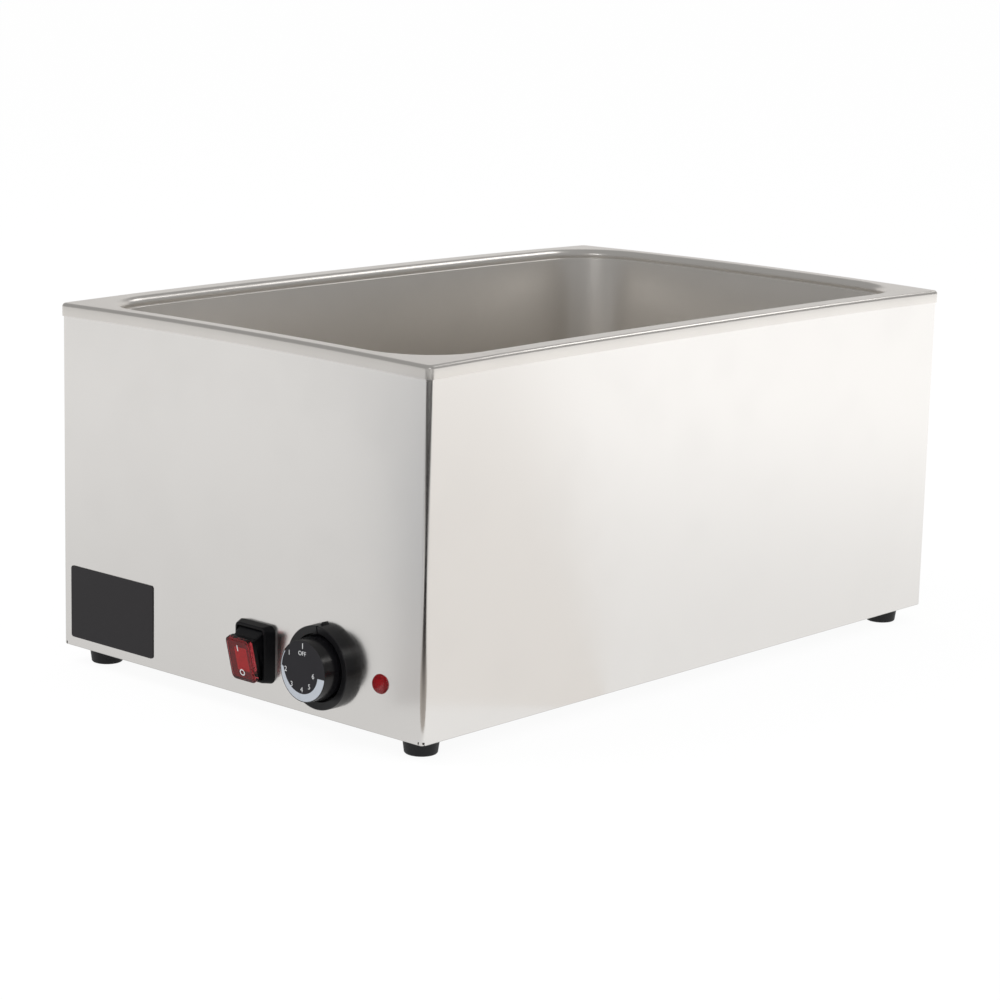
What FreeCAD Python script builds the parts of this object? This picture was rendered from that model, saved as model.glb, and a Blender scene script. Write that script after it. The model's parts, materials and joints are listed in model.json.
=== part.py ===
import FreeCAD, Part
import math
import os
import re
import Sketcher

# Electric bain-marie: a drawn steel well in a free-standing steel casing
# Millimetres. The origin is on the table under the middle of the casing.
# X runs right along the control face, Y runs back, Z runs up.

DOC = FreeCAD.newDocument("bain_marie")
SHEET = DOC.addObject("Spreadsheet::Sheet", "Sizes")
NEAR = 0.01
PARTS = []

SIZES = {
    # Drawn tank and its folded rim
    "rim_height": 248.4,
    "rim_side": 17,
    "rim_end": 14,
    "rim_corner": 4.4,
    "fold_radius": 1.5,
    "skirt_drop": 8.6,
    "skirt_gap": 0.2,
    "sheet_metal": 0.8,
    "notch_width": 1.1,
    "notch_height": 2.4,
    "notch_outer": 0.8,
    "notch_inner": 3.6,
    "cut_over": 1,
    "well_width": 306,
    "well_length": 510,
    "well_depth": 165.4,
    "well_corner": 46,
    "lip_radius": 5,
    "shoulder_drop": 9,
    "shoulder_step": 2,
    "shoulder_radius": 1.2,
    "floor_radius": 30,
    # Casing, back panel and base plate
    "base_flange": 12,
    "base_screw_edge": 4,
    "hem_radius": 0.8,
    "side_flange": 8.4,
    "end_flange": 5,
    "rear_return": 15,
    "panel_gap": 0.5,
    "plate_inset": 3,
    "vent_width": 4,
    "vent_length": 60,
    "vent_flat": 0.01,
    "vent_pitch": 16,
    "vent_count": 8,
    "vent_offset": 90,
    # Fasteners
    "screw_radius": 2,
    "screw_length": 8,
    "screw_head_radius": 3.5,
    "screw_head_height": 1.2,
    "recess_reach": 1.9,
    "recess_width": 0.8,
    "recess_depth": 0.8,
    "hole_gap": 0.15,
    "nut_flats": 7,
    "nut_height": 3.2,
    "thread_past_nut": 1,
    "washer_radius": 5,
    "base_screw_from_end": 108,
    "base_screw_offset": 80,
    "rear_screw_low": 45,
    "rear_screw_pitch": 80,
    "stud_from_end": 78,
    "stud_length": 9.6,
    # Feet
    "foot_height": 11.4,
    "foot_inset_side": 20.9,
    "foot_inset_end": 20.9,
    "foot_radius": 12,
    "foot_tread_radius": 10.5,
    "foot_edge": 1.5,
    "foot_recess_radius": 5,
    "foot_recess_depth": 6,
    # Blank label plate
    "label_width": 83,
    "label_height": 49.5,
    "label_corner": 2,
    "label_thickness": 0.6,
    "label_from_side": 50.5,
    "label_z": 43.75,
    # Line of controls on the front face
    "knob_z": 46.2,
    "lamp_drop": 1.6,
    "switch_drop": 2.2,
    "lamp_from_side": 36.3,
    "knob_from_lamp": 49,
    "switch_from_knob": 61.6,
    # Rocker switch
    "frame_width": 27.6,
    "frame_height": 36.4,
    "frame_depth": 6,
    "frame_wall": 1.8,
    "frame_corner": 3.2,
    "frame_flare_side": 3.6,
    "frame_flare_end": 0.9,
    "frame_foot_corner": 5,
    "frame_floor": 1.2,
    "frame_edge": 0.5,
    "switch_width": 22,
    "switch_height": 30,
    "switch_reach": 26,
    "switch_sink": 3,
    "switch_gap": 0.15,
    "pivot_sink": 0.7,
    "rocker_tilt": 13.6,
    "cheek_thickness": 2,
    "cheek_inset": 0.3,
    "cheek_half": 4,
    "cheek_top": 3,
    "axle_radius": 1.2,
    "running_gap": 0.05,
    "stem_foot": 4,
    "stem_drop": 1,
    "stem_top": 7,
    "stem_side_gap": 0.5,
    "carrier_width": 19.4,
    "carrier_length": 26.4,
    "carrier_low": 6,
    "lens_width": 22,
    "lens_length": 29.8,
    "lens_back": 11,
    "lens_face": 13.6,
    "lens_corner": 3.5,
    "lens_edge": 0.8,
    "boot_lip_width": 22.6,
    "boot_lip_length": 30.1,
    "boot_lip_top": 3.6,
    # Blade terminals
    "blade_width": 6.3,
    "blade_thickness": 0.8,
    "blade_length": 10,
    "blade_offset": 5.5,
    "blade_row": 8,
    # Thermostat, its knob and dial
    "bezel_base_radius": 27,
    "bezel_front_radius": 26.9,
    "bezel_depth": 7.3,
    "bezel_inner_radius": 21.9,
    "bezel_inner_depth": 6.5,
    "bezel_floor": 1,
    "bezel_edge": 0.5,
    "index_width": 1,
    "index_depth": 0.7,
    "nub_width": 3,
    "nub_rise": 1.6,
    "nub_depth": 2.5,
    "nub_root": 1,
    "knob_back": 3.6,
    "knob_front": 19,
    "knob_base_radius": 20.8,
    "knob_face_radius": 19.7,
    "knob_edge": 0.25,
    "knob_wall": 2.4,
    "knob_top_wall": 3.4,
    "hub_radius": 6.5,
    "hub_back": 4.2,
    "dial_radius": 19.2,
    "dial_thickness": 0.5,
    "dial_sink": 0.1,
    "dial_gap": 0.05,
    "spring_thickness": 0.8,
    "spring_back": 6,
    "spring_height": 4,
    "spring_angle": 310,
    "shaft_radius": 3,
    "shaft_flat": 2,
    "shaft_inner": 14,
    "shaft_outer": 13.6,
    "shaft_end_gap": 0.4,
    "boss_radius": 4.8,
    "thermostat_width": 44,
    "thermostat_height": 34,
    "thermostat_depth": 24,
    "thermostat_corner": 3,
    "thermostat_screw_offset": 14,
    "thermostat_screw_length": 9,
    "thermostat_head_height": 1.8,
    # Capillary, bulb and clips
    "capillary_radius": 0.75,
    "capillary_bend": 6,
    "capillary_front_gap": 35,
    "capillary_drop": 16,
    "capillary_offset": 10,
    "bulb_radius": 3,
    "bulb_length": 90,
    "bulb_from_wall": 43.8,
    "bulb_y": 10,
    "clip_thickness": 0.6,
    "clip_length": 10,
    "clip_wing": 6,
    "clip_spread": 50,
    "contact_gap": 0.1,
    # Pilot lamp
    "lamp_flange_radius": 6.3,
    "lamp_flange": 0.5,
    "lamp_waist_radius": 6,
    "lamp_top_radius": 4.7,
    "lamp_shoulder_radius": 5.7,
    "lamp_shoulder": 1.6,
    "lamp_height": 2.3,
    "lamp_bore_radius": 3.5,
    "lamp_bore": 1.3,
    "lamp_body_radius": 4.9,
    "lamp_reach": 20,
    "lamp_nut_radius": 8,
    "lamp_nut_height": 2.5,
    # Heating element under the well
    "element_radius": 4,
    "element_from_side": 71.8,
    "element_from_end": 75.8,
    "element_bend": 26,
    "element_gap_half": 20,
    "element_drop": 26,
    "element_drop_bend": 10,
    "heater_plate_side": 12,
    "heater_plate_end": 10,
    "heater_plate_corner": 20,
    "heater_plate_thickness": 2,
    "slot_margin": 1,
    "heater_stud_x": 45,
    "heater_stud_y": 125,
    "heater_stud_radius": 2.5,
    "heater_stud_length": 17,
    "heater_nut_flats": 8,
    "heater_nut_height": 4,
    "pin_radius": 2,
    "pin_length": 14,
    "bead_radius": 3.6,
    "bead_length": 6,
    # Thermal cut-out
    "cutout_radius": 8,
    "cutout_height": 8,
    "cutout_y": 55,
    "cutout_ear_length": 34,
    "cutout_ear_width": 10,
    "cutout_ear_thickness": 1,
    "cutout_ear_flat": 1,
    "cutout_screw_offset": 12.5,
    "cutout_screw_radius": 1.5,
    "cutout_screw_head": 2.8,
    "cutout_screw_head_height": 1.6,
    "cutout_screw_length": 2.8,
    # Mains side inside the casing
    "block_width": 40,
    "block_depth": 24,
    "block_height": 17,
    "block_from_back": 72,
    "block_pitch": 12,
    "block_bore": 2.2,
    "block_bore_height": 8,
    "block_screw_radius": 1.9,
    "block_screw_length": 5.5,
    "block_screw_sink": 1,
    "block_screw_offset": 6.5,
    "earth_offset": 42,
    "earth_radius": 2.5,
    "earth_length": 16,
    "earth_flats": 8,
    "earth_nut_height": 4,
    # Cable gland in the back panel
    "gland_from_side": 64,
    "gland_z": 45.8,
    "gland_thread_radius": 8,
    "gland_bore_radius": 5.4,
    "gland_flats": 22,
    "gland_hex": 5,
    "gland_thread_out": 13,
    "gland_inner": 8,
    "gland_seal_thickness": 1,
    "gland_seal_radius": 11.2,
    "gland_cap_back": 6.6,
    "gland_cap_flats": 21,
    "gland_cap_hex": 9,
    "gland_cap_top_radius": 6.6,
    "gland_reach": 21.8,
    "gland_cap_wall": 2.2,
    "gland_collar": 1,
    "gland_end_gap": 1,
    "gland_nut_height": 4,
    "cable_radius": 3.6,
    # Insulation round the well
    "insulation_gap": 0.3,
    "insulation_thickness": 10,
    "insulation_rise": 9,
    "insulation_drop": 5.4,
}

# Places that follow from the sizes
DERIVED = {
    "rim_width": "well_width + 2 * rim_side",
    "rim_length": "well_length + 2 * rim_end",
    "casing_x": "rim_width / 2 - sheet_metal - skirt_gap",
    "casing_y": "rim_length / 2 - sheet_metal - skirt_gap",
    "casing_bottom": "foot_height + sheet_metal",
    "bend_radius": "rim_corner - sheet_metal - skirt_gap",
    "rim_under": "rim_height - sheet_metal",
    "shoulder_z": "rim_height - shoulder_drop",
    "well_floor": "rim_height - well_depth",
    "well_under": "well_floor - sheet_metal",
    "wall_x": "well_width / 2 - shoulder_step + sheet_metal",
    "wall_y": "well_length / 2 - shoulder_step + sheet_metal",
    "wall_corner": "well_corner - shoulder_step + sheet_metal",
    "opening_x": "casing_x - rear_return",
    "back_face": "casing_y - sheet_metal",
    "foot_x": "casing_x - foot_inset_side",
    "foot_y": "casing_y - foot_inset_end",
    "base_screw_x": "casing_x - sheet_metal - base_flange + base_screw_edge",
    "base_screw_front": "sheet_metal + base_flange - base_screw_edge - casing_y",
    "base_screw_rear": "casing_y - 2 * sheet_metal - base_flange + base_screw_edge",
    "rear_screw_x": "casing_x - rear_return / 2",
    "stud_x": "casing_x - sheet_metal - side_flange / 2",
    "hole_radius": "screw_radius + hole_gap",
    "cheek_outer": "switch_width / 2 - cheek_inset",
    "element_z": "well_under - contact_gap - element_radius",
    "heater_plate_top": "element_z - element_radius - contact_gap",
    "heater_plate_low": "heater_plate_top - heater_plate_thickness",
    "bulb_z": "well_under - contact_gap - bulb_radius",
    "dial_seat": "knob_front - dial_sink - dial_thickness",
    "hollow_top": "knob_front - knob_top_wall",
    "base_screw_spread": "casing_y - base_screw_from_end",
    "stud_spread": "casing_y - stud_from_end",
    "label_x": "label_from_side - casing_x",
    "lamp_x": "casing_x - lamp_from_side",
    "knob_x": "lamp_x - knob_from_lamp",
    "switch_x": "knob_x - switch_from_knob",
    "lamp_z": "knob_z - lamp_drop",
    "switch_z": "knob_z - switch_drop",
    "element_x": "wall_x - element_from_side",
    "element_y": "wall_y - element_from_end",
    "heater_plate_x": "element_x + heater_plate_side",
    "heater_plate_y": "element_y + heater_plate_end",
    "bulb_x": "bulb_from_wall - wall_x",
    "gland_x": "casing_x - gland_from_side",
    "insulation_low": "well_floor + insulation_rise",
    "insulation_high": "shoulder_z - insulation_drop",
    "block_x": "gland_x",
    "block_y": "casing_y - block_from_back",
    "earth_x": "gland_x - earth_offset",
}


def formula(text):
    """Write a size expression out with the names of the sheet's cells."""
    def swap(match):
        word = match.group(0)
        if word in DERIVED:
            return "(" + formula(DERIVED[word]) + ")"
        if word in SIZES:
            return "Sizes." + word
        return word
    return re.sub(r"[a-z][a-z_]*", swap, str(text))


def value(text):
    """Work a size expression out as a number."""
    return float(SHEET.evalExpression(formula(text)))


def fill_sheet():
    """Give every size a cell whose alias is its name."""
    for row, (name, number) in enumerate(SIZES.items(), start=1):
        SHEET.set(f"A{row}", name)
        SHEET.set(f"B{row}", str(number))
        SHEET.setAlias(f"B{row}", name)
    DOC.recompute()


# Bodies, sketches and features

def new_body(label, separate=False):
    """Start a piece; separate allows a group of solids that don't touch."""
    body = DOC.addObject("PartDesign::Body", label)
    body.Label = label
    body.AllowCompound = separate
    PARTS.append(body)
    return body


def stand(body, x, y, z, lean="0"):
    """Place a piece, tipped about X by lean degrees."""
    body.Placement = FreeCAD.Placement(FreeCAD.Vector(), FreeCAD.Rotation(FreeCAD.Vector(1, 0, 0), 90))
    body.setExpression("Placement.Rotation.Angle", formula(lean))
    body.setExpression("Placement.Base.x", formula(x))
    body.setExpression("Placement.Base.y", formula(y))
    body.setExpression("Placement.Base.z", formula(z))


def on_front(body, control, depth="0", extra="0"):
    """Place a piece at a control's place, its own Z pointing out of the front face."""
    stand(body, f"{control}_x", f"-casing_y - ({depth})", f"{control}_z", f"90 + {extra}")


def new_sketch(body, role="XY_Plane", level="0"):
    """Start a sketch on one of the body's planes, level away from it."""
    sketch = body.newObject("Sketcher::SketchObject", body.Name + "_sketch")
    plane = next(item for item in body.Origin.OriginFeatures if item.Role == role)
    sketch.AttachmentSupport = [(plane, "")]
    sketch.MapMode = "FlatFace"
    sketch.setExpression("AttachmentOffset.Base.z", formula(level))
    return sketch


def bind(sketch, rules):
    """Add a list of rules at once, and bind each one that has a size to the sheet."""
    first = sketch.ConstraintCount
    sketch.addConstraint([
        Sketcher.Constraint(kind, *where) if size is None else Sketcher.Constraint(kind, *where, value(size))
        for kind, where, size in rules
    ])
    for index, (_, _, size) in enumerate(rules, start=first):
        if size is not None:
            sketch.setExpression(f"Constraints[{index}]", formula(size))


def spot(index, point, x, y):
    """Say where a point of a sketch's geometry is."""
    return [("DistanceX", (-1, 1, index, point), x), ("DistanceY", (-1, 1, index, point), y)]


def flat_point(x, y):
    """Make a sketch point from two size expressions."""
    return FreeCAD.Vector(value(x), value(y), 0)


def polygon(sketch, points):
    """Draw a closed outline of straight lines."""
    first = sketch.GeometryCount
    count = len(points)
    ends = [flat_point(x, y) for x, y in points]
    sketch.addGeometry([Part.LineSegment(ends[index], ends[(index + 1) % count])
                        for index in range(count)], False)
    rules = []
    for index, (x, y) in enumerate(points):
        rules.append(("Coincident", (first + index, 2, first + (index + 1) % count, 1), None))
        rules += spot(first + index, 1, x, y)
    bind(sketch, rules)


def rectangle(sketch, left, right, low, high):
    """Draw a rectangle between four coordinates."""
    polygon(sketch, [(left, low), (right, low), (right, high), (left, high)])


def rounded_rectangle(sketch, half_x, half_y, radius, x="0", y="0"):
    """Draw a rectangle about a centre, its corners tangent arcs."""
    first = sketch.GeometryCount
    left, right = f"{x} - ({half_x} - ({radius}))", f"{x} + {half_x} - ({radius})"
    low, high = f"{y} - ({half_y} - ({radius}))", f"{y} + {half_y} - ({radius})"
    bend, upward = value(radius), FreeCAD.Vector(0, 0, 1)
    hubs = [flat_point(right, low), flat_point(right, high), flat_point(left, high), flat_point(left, low)]
    turn = math.pi / 2
    arcs = [Part.ArcOfCircle(Part.Circle(hub, upward, bend), (corner - 1) * turn, corner * turn)
            for corner, hub in enumerate(hubs)]
    lines = [Part.LineSegment(arcs[corner].EndPoint, arcs[(corner + 1) % 4].StartPoint)
             for corner in range(4)]
    sketch.addGeometry(arcs + lines, False)
    rules = [("Radius", (first,), radius)]
    for corner in range(4):
        line = first + 4 + corner
        rules.append(("Tangent", (first + corner, 2, line, 1), None))
        rules.append(("Tangent", (line, 2, first + (corner + 1) % 4, 1), None))
        if corner:
            rules.append(("Equal", (first, first + corner), None))
    rules += spot(first, 3, right, low) + spot(first + 2, 3, left, high)
    rules.append(("Vertical", (first + 4,), None))
    bind(sketch, rules)


def circles(sketch, places, radius):
    """Draw equal circles at a list of places."""
    first = sketch.GeometryCount
    upward = FreeCAD.Vector(0, 0, 1)
    sketch.addGeometry([Part.Circle(flat_point(x, y), upward, value(radius)) for x, y in places], False)
    rules = []
    for index, (x, y) in enumerate(places, start=first):
        rules += spot(index, 3, x, y) + [("Radius", (index,), radius)]
    bind(sketch, rules)


def hexagons(sketch, places, flats):
    """Draw equal hexagons, flats apart across their flat sides."""
    for x, y in places:
        point = f"({flats}) / sqrt(3)"
        polygon(sketch, [
            (f"{x} + {point}", y),
            (f"{x} + {point} / 2", f"{y} + ({flats}) / 2"),
            (f"{x} - {point} / 2", f"{y} + ({flats}) / 2"),
            (f"{x} - {point}", y),
            (f"{x} - {point} / 2", f"{y} - ({flats}) / 2"),
            (f"{x} + {point} / 2", f"{y} - ({flats}) / 2"),
        ])


def cross(sketch, x, y, reach, width):
    """Draw a plus sign, for a cross recess."""
    arm, side = f"({reach})", f"({width}) / 2"
    polygon(sketch, [
        (f"{x} + {side}", f"{y} + {side}"), (f"{x} + {side}", f"{y} + {arm}"),
        (f"{x} - {side}", f"{y} + {arm}"), (f"{x} - {side}", f"{y} + {side}"),
        (f"{x} - {arm}", f"{y} + {side}"), (f"{x} - {arm}", f"{y} - {side}"),
        (f"{x} - {side}", f"{y} - {side}"), (f"{x} - {side}", f"{y} - {arm}"),
        (f"{x} + {side}", f"{y} - {arm}"), (f"{x} + {side}", f"{y} - {side}"),
        (f"{x} + {arm}", f"{y} - {side}"), (f"{x} + {arm}", f"{y} + {side}"),
    ])


def pad(body, sketch, length):
    """Raise a sketch by a length along its normal."""
    feature = body.newObject("PartDesign::Pad", body.Name + "_pad")
    feature.Profile = sketch
    feature.setExpression("Length", formula(length))
    DOC.recompute()
    return feature


def loft(body, first, *others):
    """Join outlines at rising levels with ruled faces."""
    feature = body.newObject("PartDesign::AdditiveLoft", body.Name + "_loft")
    feature.Profile = first
    feature.Sections = list(others)
    feature.Ruled = True
    DOC.recompute()
    return feature


def pocket(body, sketch, length):
    """Cut a sketch out by a length along its normal, and make sure that it cut."""
    before = body.Tip.Shape.Volume
    feature = body.newObject("PartDesign::Pocket", body.Name + "_pocket")
    feature.Profile = sketch
    feature.Reversed = True
    feature.setExpression("Length", formula(length))
    DOC.recompute()
    if not feature.Shape.Volume < before:
        raise ValueError(f"a pocket of {body.Label} cuts nothing")
    return feature


def revolve(body, points, angle="360"):
    """Turn an outline of radius and height points about the body's Z axis."""
    sketch = new_sketch(body, "XZ_Plane")
    polygon(sketch, points)
    feature = body.newObject("PartDesign::Revolution", body.Name + "_revolution")
    feature.Profile = sketch
    feature.ReferenceAxis = (sketch, ["V_Axis"])
    feature.setExpression("Angle", formula(angle))
    DOC.recompute()
    return feature


def edges_at(body, level, half_x=None, half_y=None):
    """Name the flat edges at a height, within a half width and length if these are given."""
    height = value(level)
    reach_x = value(half_x) + NEAR if half_x else float("inf")
    reach_y = value(half_y) + NEAR if half_y else float("inf")
    names = []
    for index, edge in enumerate(body.Tip.Shape.Edges, start=1):
        box = edge.BoundBox
        flat = abs(box.ZMin - height) < NEAR and abs(box.ZMax - height) < NEAR
        near_x = max(abs(box.XMin), abs(box.XMax)) < reach_x
        near_y = max(abs(box.YMin), abs(box.YMax)) < reach_y
        if flat and near_x and near_y:
            names.append(f"Edge{index}")
    return names


def fillet(body, radius, names):
    """Round the named edges of a body's last feature."""
    base = body.Tip
    feature = body.newObject("PartDesign::Fillet", body.Name + "_fillet")
    feature.Base = (base, names)
    feature.setExpression("Radius", formula(radius))
    DOC.recompute()
    return feature


def corners(half_x, half_y):
    """List the four places at plus and minus two half distances."""
    return [(f"{a}({half_x})", f"{b}({half_y})") for a in ("-", "") for b in ("-", "")]


def rounded_path(points, radius):
    """Join straight runs through a list of points by tangent arcs of one radius."""
    points = [FreeCAD.Vector(*point) for point in points]
    edges = []
    start = points[0]
    for before, corner, after in zip(points, points[1:], points[2:]):
        back = (before - corner).normalize()
        ahead = (after - corner).normalize()
        middle = (back + ahead).normalize()
        half = back.getAngle(middle)
        first = corner + back * (radius / math.tan(half))
        last = corner + ahead * (radius / math.tan(half))
        top = corner + middle * (radius / math.sin(half) - radius)
        edges.append(Part.LineSegment(start, first).toShape())
        edges.append(Part.Arc(first, top, last).toShape())
        start = last
    edges.append(Part.LineSegment(start, points[-1]).toShape())
    return Part.Wire(edges)


def tube(path, radius):
    """Sweep a round section along a path."""
    start = path.Edges[0]
    along = start.tangentAt(start.FirstParameter)
    section = Part.Wire(Part.Circle(start.valueAt(start.FirstParameter), along, radius).toShape())
    return path.makePipeShell([section], True, False)


def add_shape(label, shape):
    """Add a piece whose shape is worked out here from the sheet's sizes."""
    piece = DOC.addObject("Part::Feature", label)
    piece.Label = label
    piece.Shape = shape
    piece.Placement = FreeCAD.Placement()
    PARTS.append(piece)
    return piece


# The tank

def tank():
    """Draw the well and fold the rim down into a skirt."""
    body = new_body("tank")
    rim = new_sketch(body, level="rim_height - skirt_drop")
    rounded_rectangle(rim, "rim_width / 2", "rim_length / 2", "rim_corner")
    pad(body, rim, "skirt_drop")
    fillet(body, "fold_radius", edges_at(body, "rim_height"))
    under = new_sketch(body, level="rim_height - skirt_drop")
    rounded_rectangle(under, "rim_width / 2 - sheet_metal", "rim_length / 2 - sheet_metal",
                      "rim_corner - sheet_metal")
    pocket(body, under, "skirt_drop - sheet_metal")
    neck = new_sketch(body, level="shoulder_z - sheet_metal")
    rounded_rectangle(neck, "well_width / 2 + sheet_metal", "well_length / 2 + sheet_metal",
                      "well_corner + sheet_metal")
    pad(body, neck, "shoulder_drop")
    shell = new_sketch(body, level="well_under")
    rounded_rectangle(shell, "wall_x", "wall_y", "wall_corner")
    pad(body, shell, "shoulder_z - well_under")
    fillet(body, "lip_radius + sheet_metal",
           edges_at(body, "rim_under", "well_width / 2 + sheet_metal", "well_length / 2 + sheet_metal"))
    opening = new_sketch(body, level="shoulder_z")
    rounded_rectangle(opening, "well_width / 2", "well_length / 2", "well_corner")
    pocket(body, opening, "shoulder_drop")
    fillet(body, "lip_radius", edges_at(body, "rim_height", "well_width / 2", "well_length / 2"))
    well = new_sketch(body, level="well_floor")
    rounded_rectangle(well, "wall_x - sheet_metal", "wall_y - sheet_metal", "wall_corner - sheet_metal")
    pocket(body, well, "shoulder_z - well_floor")
    fillet(body, "floor_radius", edges_at(body, "well_floor"))
    fillet(body, "floor_radius + sheet_metal", edges_at(body, "well_under"))
    fillet(body, "shoulder_radius",
           edges_at(body, "shoulder_z", "wall_x - sheet_metal", "wall_y - sheet_metal"))


# The casing

def casing_wrap():
    """Bend the front, the sides and two rear returns from one sheet."""
    body = new_body("casing_wrap")
    outside = new_sketch(body, level="casing_bottom")
    rounded_rectangle(outside, "casing_x", "casing_y", "bend_radius")
    pad(body, outside, "rim_under - casing_bottom")
    fillet(body, "hem_radius", edges_at(body, "casing_bottom"))
    inside = new_sketch(body, level="casing_bottom + sheet_metal")
    rounded_rectangle(inside, "casing_x - sheet_metal", "casing_y - sheet_metal",
                      "bend_radius - sheet_metal")
    pocket(body, inside, "rim_under - casing_bottom - 2 * sheet_metal")
    below = new_sketch(body, level="casing_bottom")
    rounded_rectangle(below, "casing_x - sheet_metal - base_flange",
                      "casing_y - sheet_metal - base_flange", "bend_radius")
    pocket(body, below, "sheet_metal")
    above = new_sketch(body, level="rim_under - sheet_metal")
    rounded_rectangle(above, "casing_x - sheet_metal - side_flange",
                      "casing_y - sheet_metal - end_flange", "bend_radius")
    pocket(body, above, "sheet_metal")
    rear = new_sketch(body, "XZ_Plane", "-casing_y")
    rectangle(rear, "-opening_x", "opening_x", "casing_bottom", "rim_under")
    pocket(body, rear, "sheet_metal + base_flange + panel_gap")
    cut_controls(body)
    cut_notches(body)
    studs = new_sketch(body, level="rim_under - sheet_metal")
    circles(studs, stud_places(), "hole_radius")
    pocket(body, studs, "sheet_metal")
    base = new_sketch(body, level="casing_bottom")
    circles(base, wrap_screw_places(), "hole_radius")
    pocket(body, base, "sheet_metal")
    returns = new_sketch(body, "XZ_Plane", "-casing_y")
    circles(returns, rear_screw_places(), "hole_radius")
    pocket(body, returns, "sheet_metal")


def cut_controls(body):
    """Cut the front face for the switch, the thermostat and the pilot lamp."""
    level = "casing_y - sheet_metal"
    switch = new_sketch(body, "XZ_Plane", level)
    rectangle(switch, "switch_x - switch_width / 2 - switch_gap",
              "switch_x + switch_width / 2 + switch_gap",
              "switch_z - switch_height / 2 - switch_gap",
              "switch_z + switch_height / 2 + switch_gap")
    pocket(body, switch, "sheet_metal")
    shaft = new_sketch(body, "XZ_Plane", level)
    circles(shaft, [("knob_x", "knob_z")], "boss_radius + hole_gap")
    circles(shaft, [("knob_x - thermostat_screw_offset", "knob_z"),
                    ("knob_x + thermostat_screw_offset", "knob_z")], "hole_radius")
    pocket(body, shaft, "sheet_metal")
    lamp = new_sketch(body, "XZ_Plane", level)
    circles(lamp, [("lamp_x", "lamp_z")], "lamp_body_radius + hole_gap")
    pocket(body, lamp, "sheet_metal")


def cut_notches(body):
    """Relieve the foot of each front bend, where the sheet turns two ways at once."""
    feet_of_bends = new_sketch(body, "XZ_Plane", "casing_y - bend_radius")
    for side in ("-", ""):
        for place in ("notch_outer", "notch_inner"):
            middle = f"{side}(casing_x - {place})"
            rectangle(feet_of_bends, f"{middle} - notch_width / 2", f"{middle} + notch_width / 2",
                      "casing_bottom - cut_over", "casing_bottom + notch_height")
    pocket(body, feet_of_bends, "bend_radius")


def stud_places():
    """List the tank studs, three along each side."""
    return [(f"{side}stud_x", f"{along} * stud_spread") for side in ("-", "") for along in (-1, 0, 1)]


def wrap_screw_places():
    """List the base screws that hold the wrap's own flanges."""
    sides = [(f"{side}base_screw_x", f"{along} * base_screw_spread")
             for side in ("-", "") for along in (-1, 0, 1)]
    return sides + [(f"{side}base_screw_offset", "base_screw_front") for side in ("-", "")]


def panel_screw_places():
    """List the base screws that hold the back panel's flange."""
    return [(f"{side}base_screw_offset", "base_screw_rear") for side in ("-", "")]


def rear_screw_places():
    """List the screws in the rear returns, three on each side."""
    return [(f"{side}rear_screw_x", f"rear_screw_low + {step} * rear_screw_pitch")
            for side in ("-", "") for step in range(3)]


def back_panel():
    """Close the back with a flanged panel behind the rear returns."""
    body = new_body("back_panel")
    wall = new_sketch(body, "XZ_Plane", "-back_face")
    rectangle(wall, "-(casing_x - bend_radius - panel_gap)", "casing_x - bend_radius - panel_gap",
              "casing_bottom + sheet_metal + panel_gap", "rim_under - sheet_metal - panel_gap")
    pad(body, wall, "sheet_metal")
    step = new_sketch(body, level="casing_bottom")
    rectangle(step, "-(opening_x - panel_gap)", "opening_x - panel_gap",
              "back_face - sheet_metal", "back_face")
    pad(body, step, "2 * sheet_metal + panel_gap")
    flange = new_sketch(body, level="casing_bottom")
    rectangle(flange, "-(opening_x - panel_gap)", "opening_x - panel_gap",
              "back_face - sheet_metal - base_flange", "back_face")
    pad(body, flange, "sheet_metal")
    gland = new_sketch(body, "XZ_Plane", "-back_face")
    circles(gland, [("gland_x", "gland_z")], "gland_thread_radius + hole_gap")
    circles(gland, rear_screw_places(), "hole_radius")
    pocket(body, gland, "sheet_metal")
    base = new_sketch(body, level="casing_bottom")
    circles(base, panel_screw_places(), "hole_radius")
    pocket(body, base, "sheet_metal")


def base_plate():
    """Close the underside with a vented plate that carries the feet."""
    body = new_body("base_plate")
    outline = new_sketch(body, level="foot_height")
    rounded_rectangle(outline, "casing_x - plate_inset", "casing_y - plate_inset", "bend_radius")
    pad(body, outline, "sheet_metal")
    holes = new_sketch(body, level="foot_height")
    circles(holes, corners("foot_x", "foot_y") + wrap_screw_places() + panel_screw_places(),
            "hole_radius")
    pocket(body, holes, "sheet_metal")
    solid = body.Tip
    vents = new_sketch(body, level="foot_height")
    for side in ("-", ""):
        rounded_rectangle(vents, "vent_width / 2", "vent_length / 2", "vent_width / 2 - vent_flat",
                          "-(vent_count - 1) / 2 * vent_pitch", f"{side}vent_offset")
    slot = pocket(body, vents, "sheet_metal")
    row = body.newObject("PartDesign::LinearPattern", "vent_row")
    row.Originals = [slot]
    row.Direction = (vents, ["H_Axis"])
    row.setExpression("Length", formula("(vent_count - 1) * vent_pitch"))
    row.setExpression("Occurrences", formula("vent_count"))
    body.Tip = row
    DOC.recompute()
    if not row.Shape.Volume < slot.Shape.Volume < solid.Shape.Volume:
        raise ValueError("the vents are not cut")


# Fasteners

def screws(label, places, length, head="screw_head_radius", height="screw_head_height",
           shank="screw_radius"):
    """Make a group of cross-recessed screws, heads up from level 0 and shanks down."""
    body = new_body(label, separate=True)
    heads = new_sketch(body)
    circles(heads, places, head)
    pad(body, heads, height)
    fillet(body, f"({height}) / 2", edges_at(body, height))
    shanks = new_sketch(body, level=f"-({length})")
    circles(shanks, places, shank)
    pad(body, shanks, length)
    for x, y in places:
        recess = new_sketch(body, level=f"{height} - recess_depth")
        cross(recess, x, y, "recess_reach", "recess_width")
        pocket(body, recess, "recess_depth")
    return body


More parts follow.
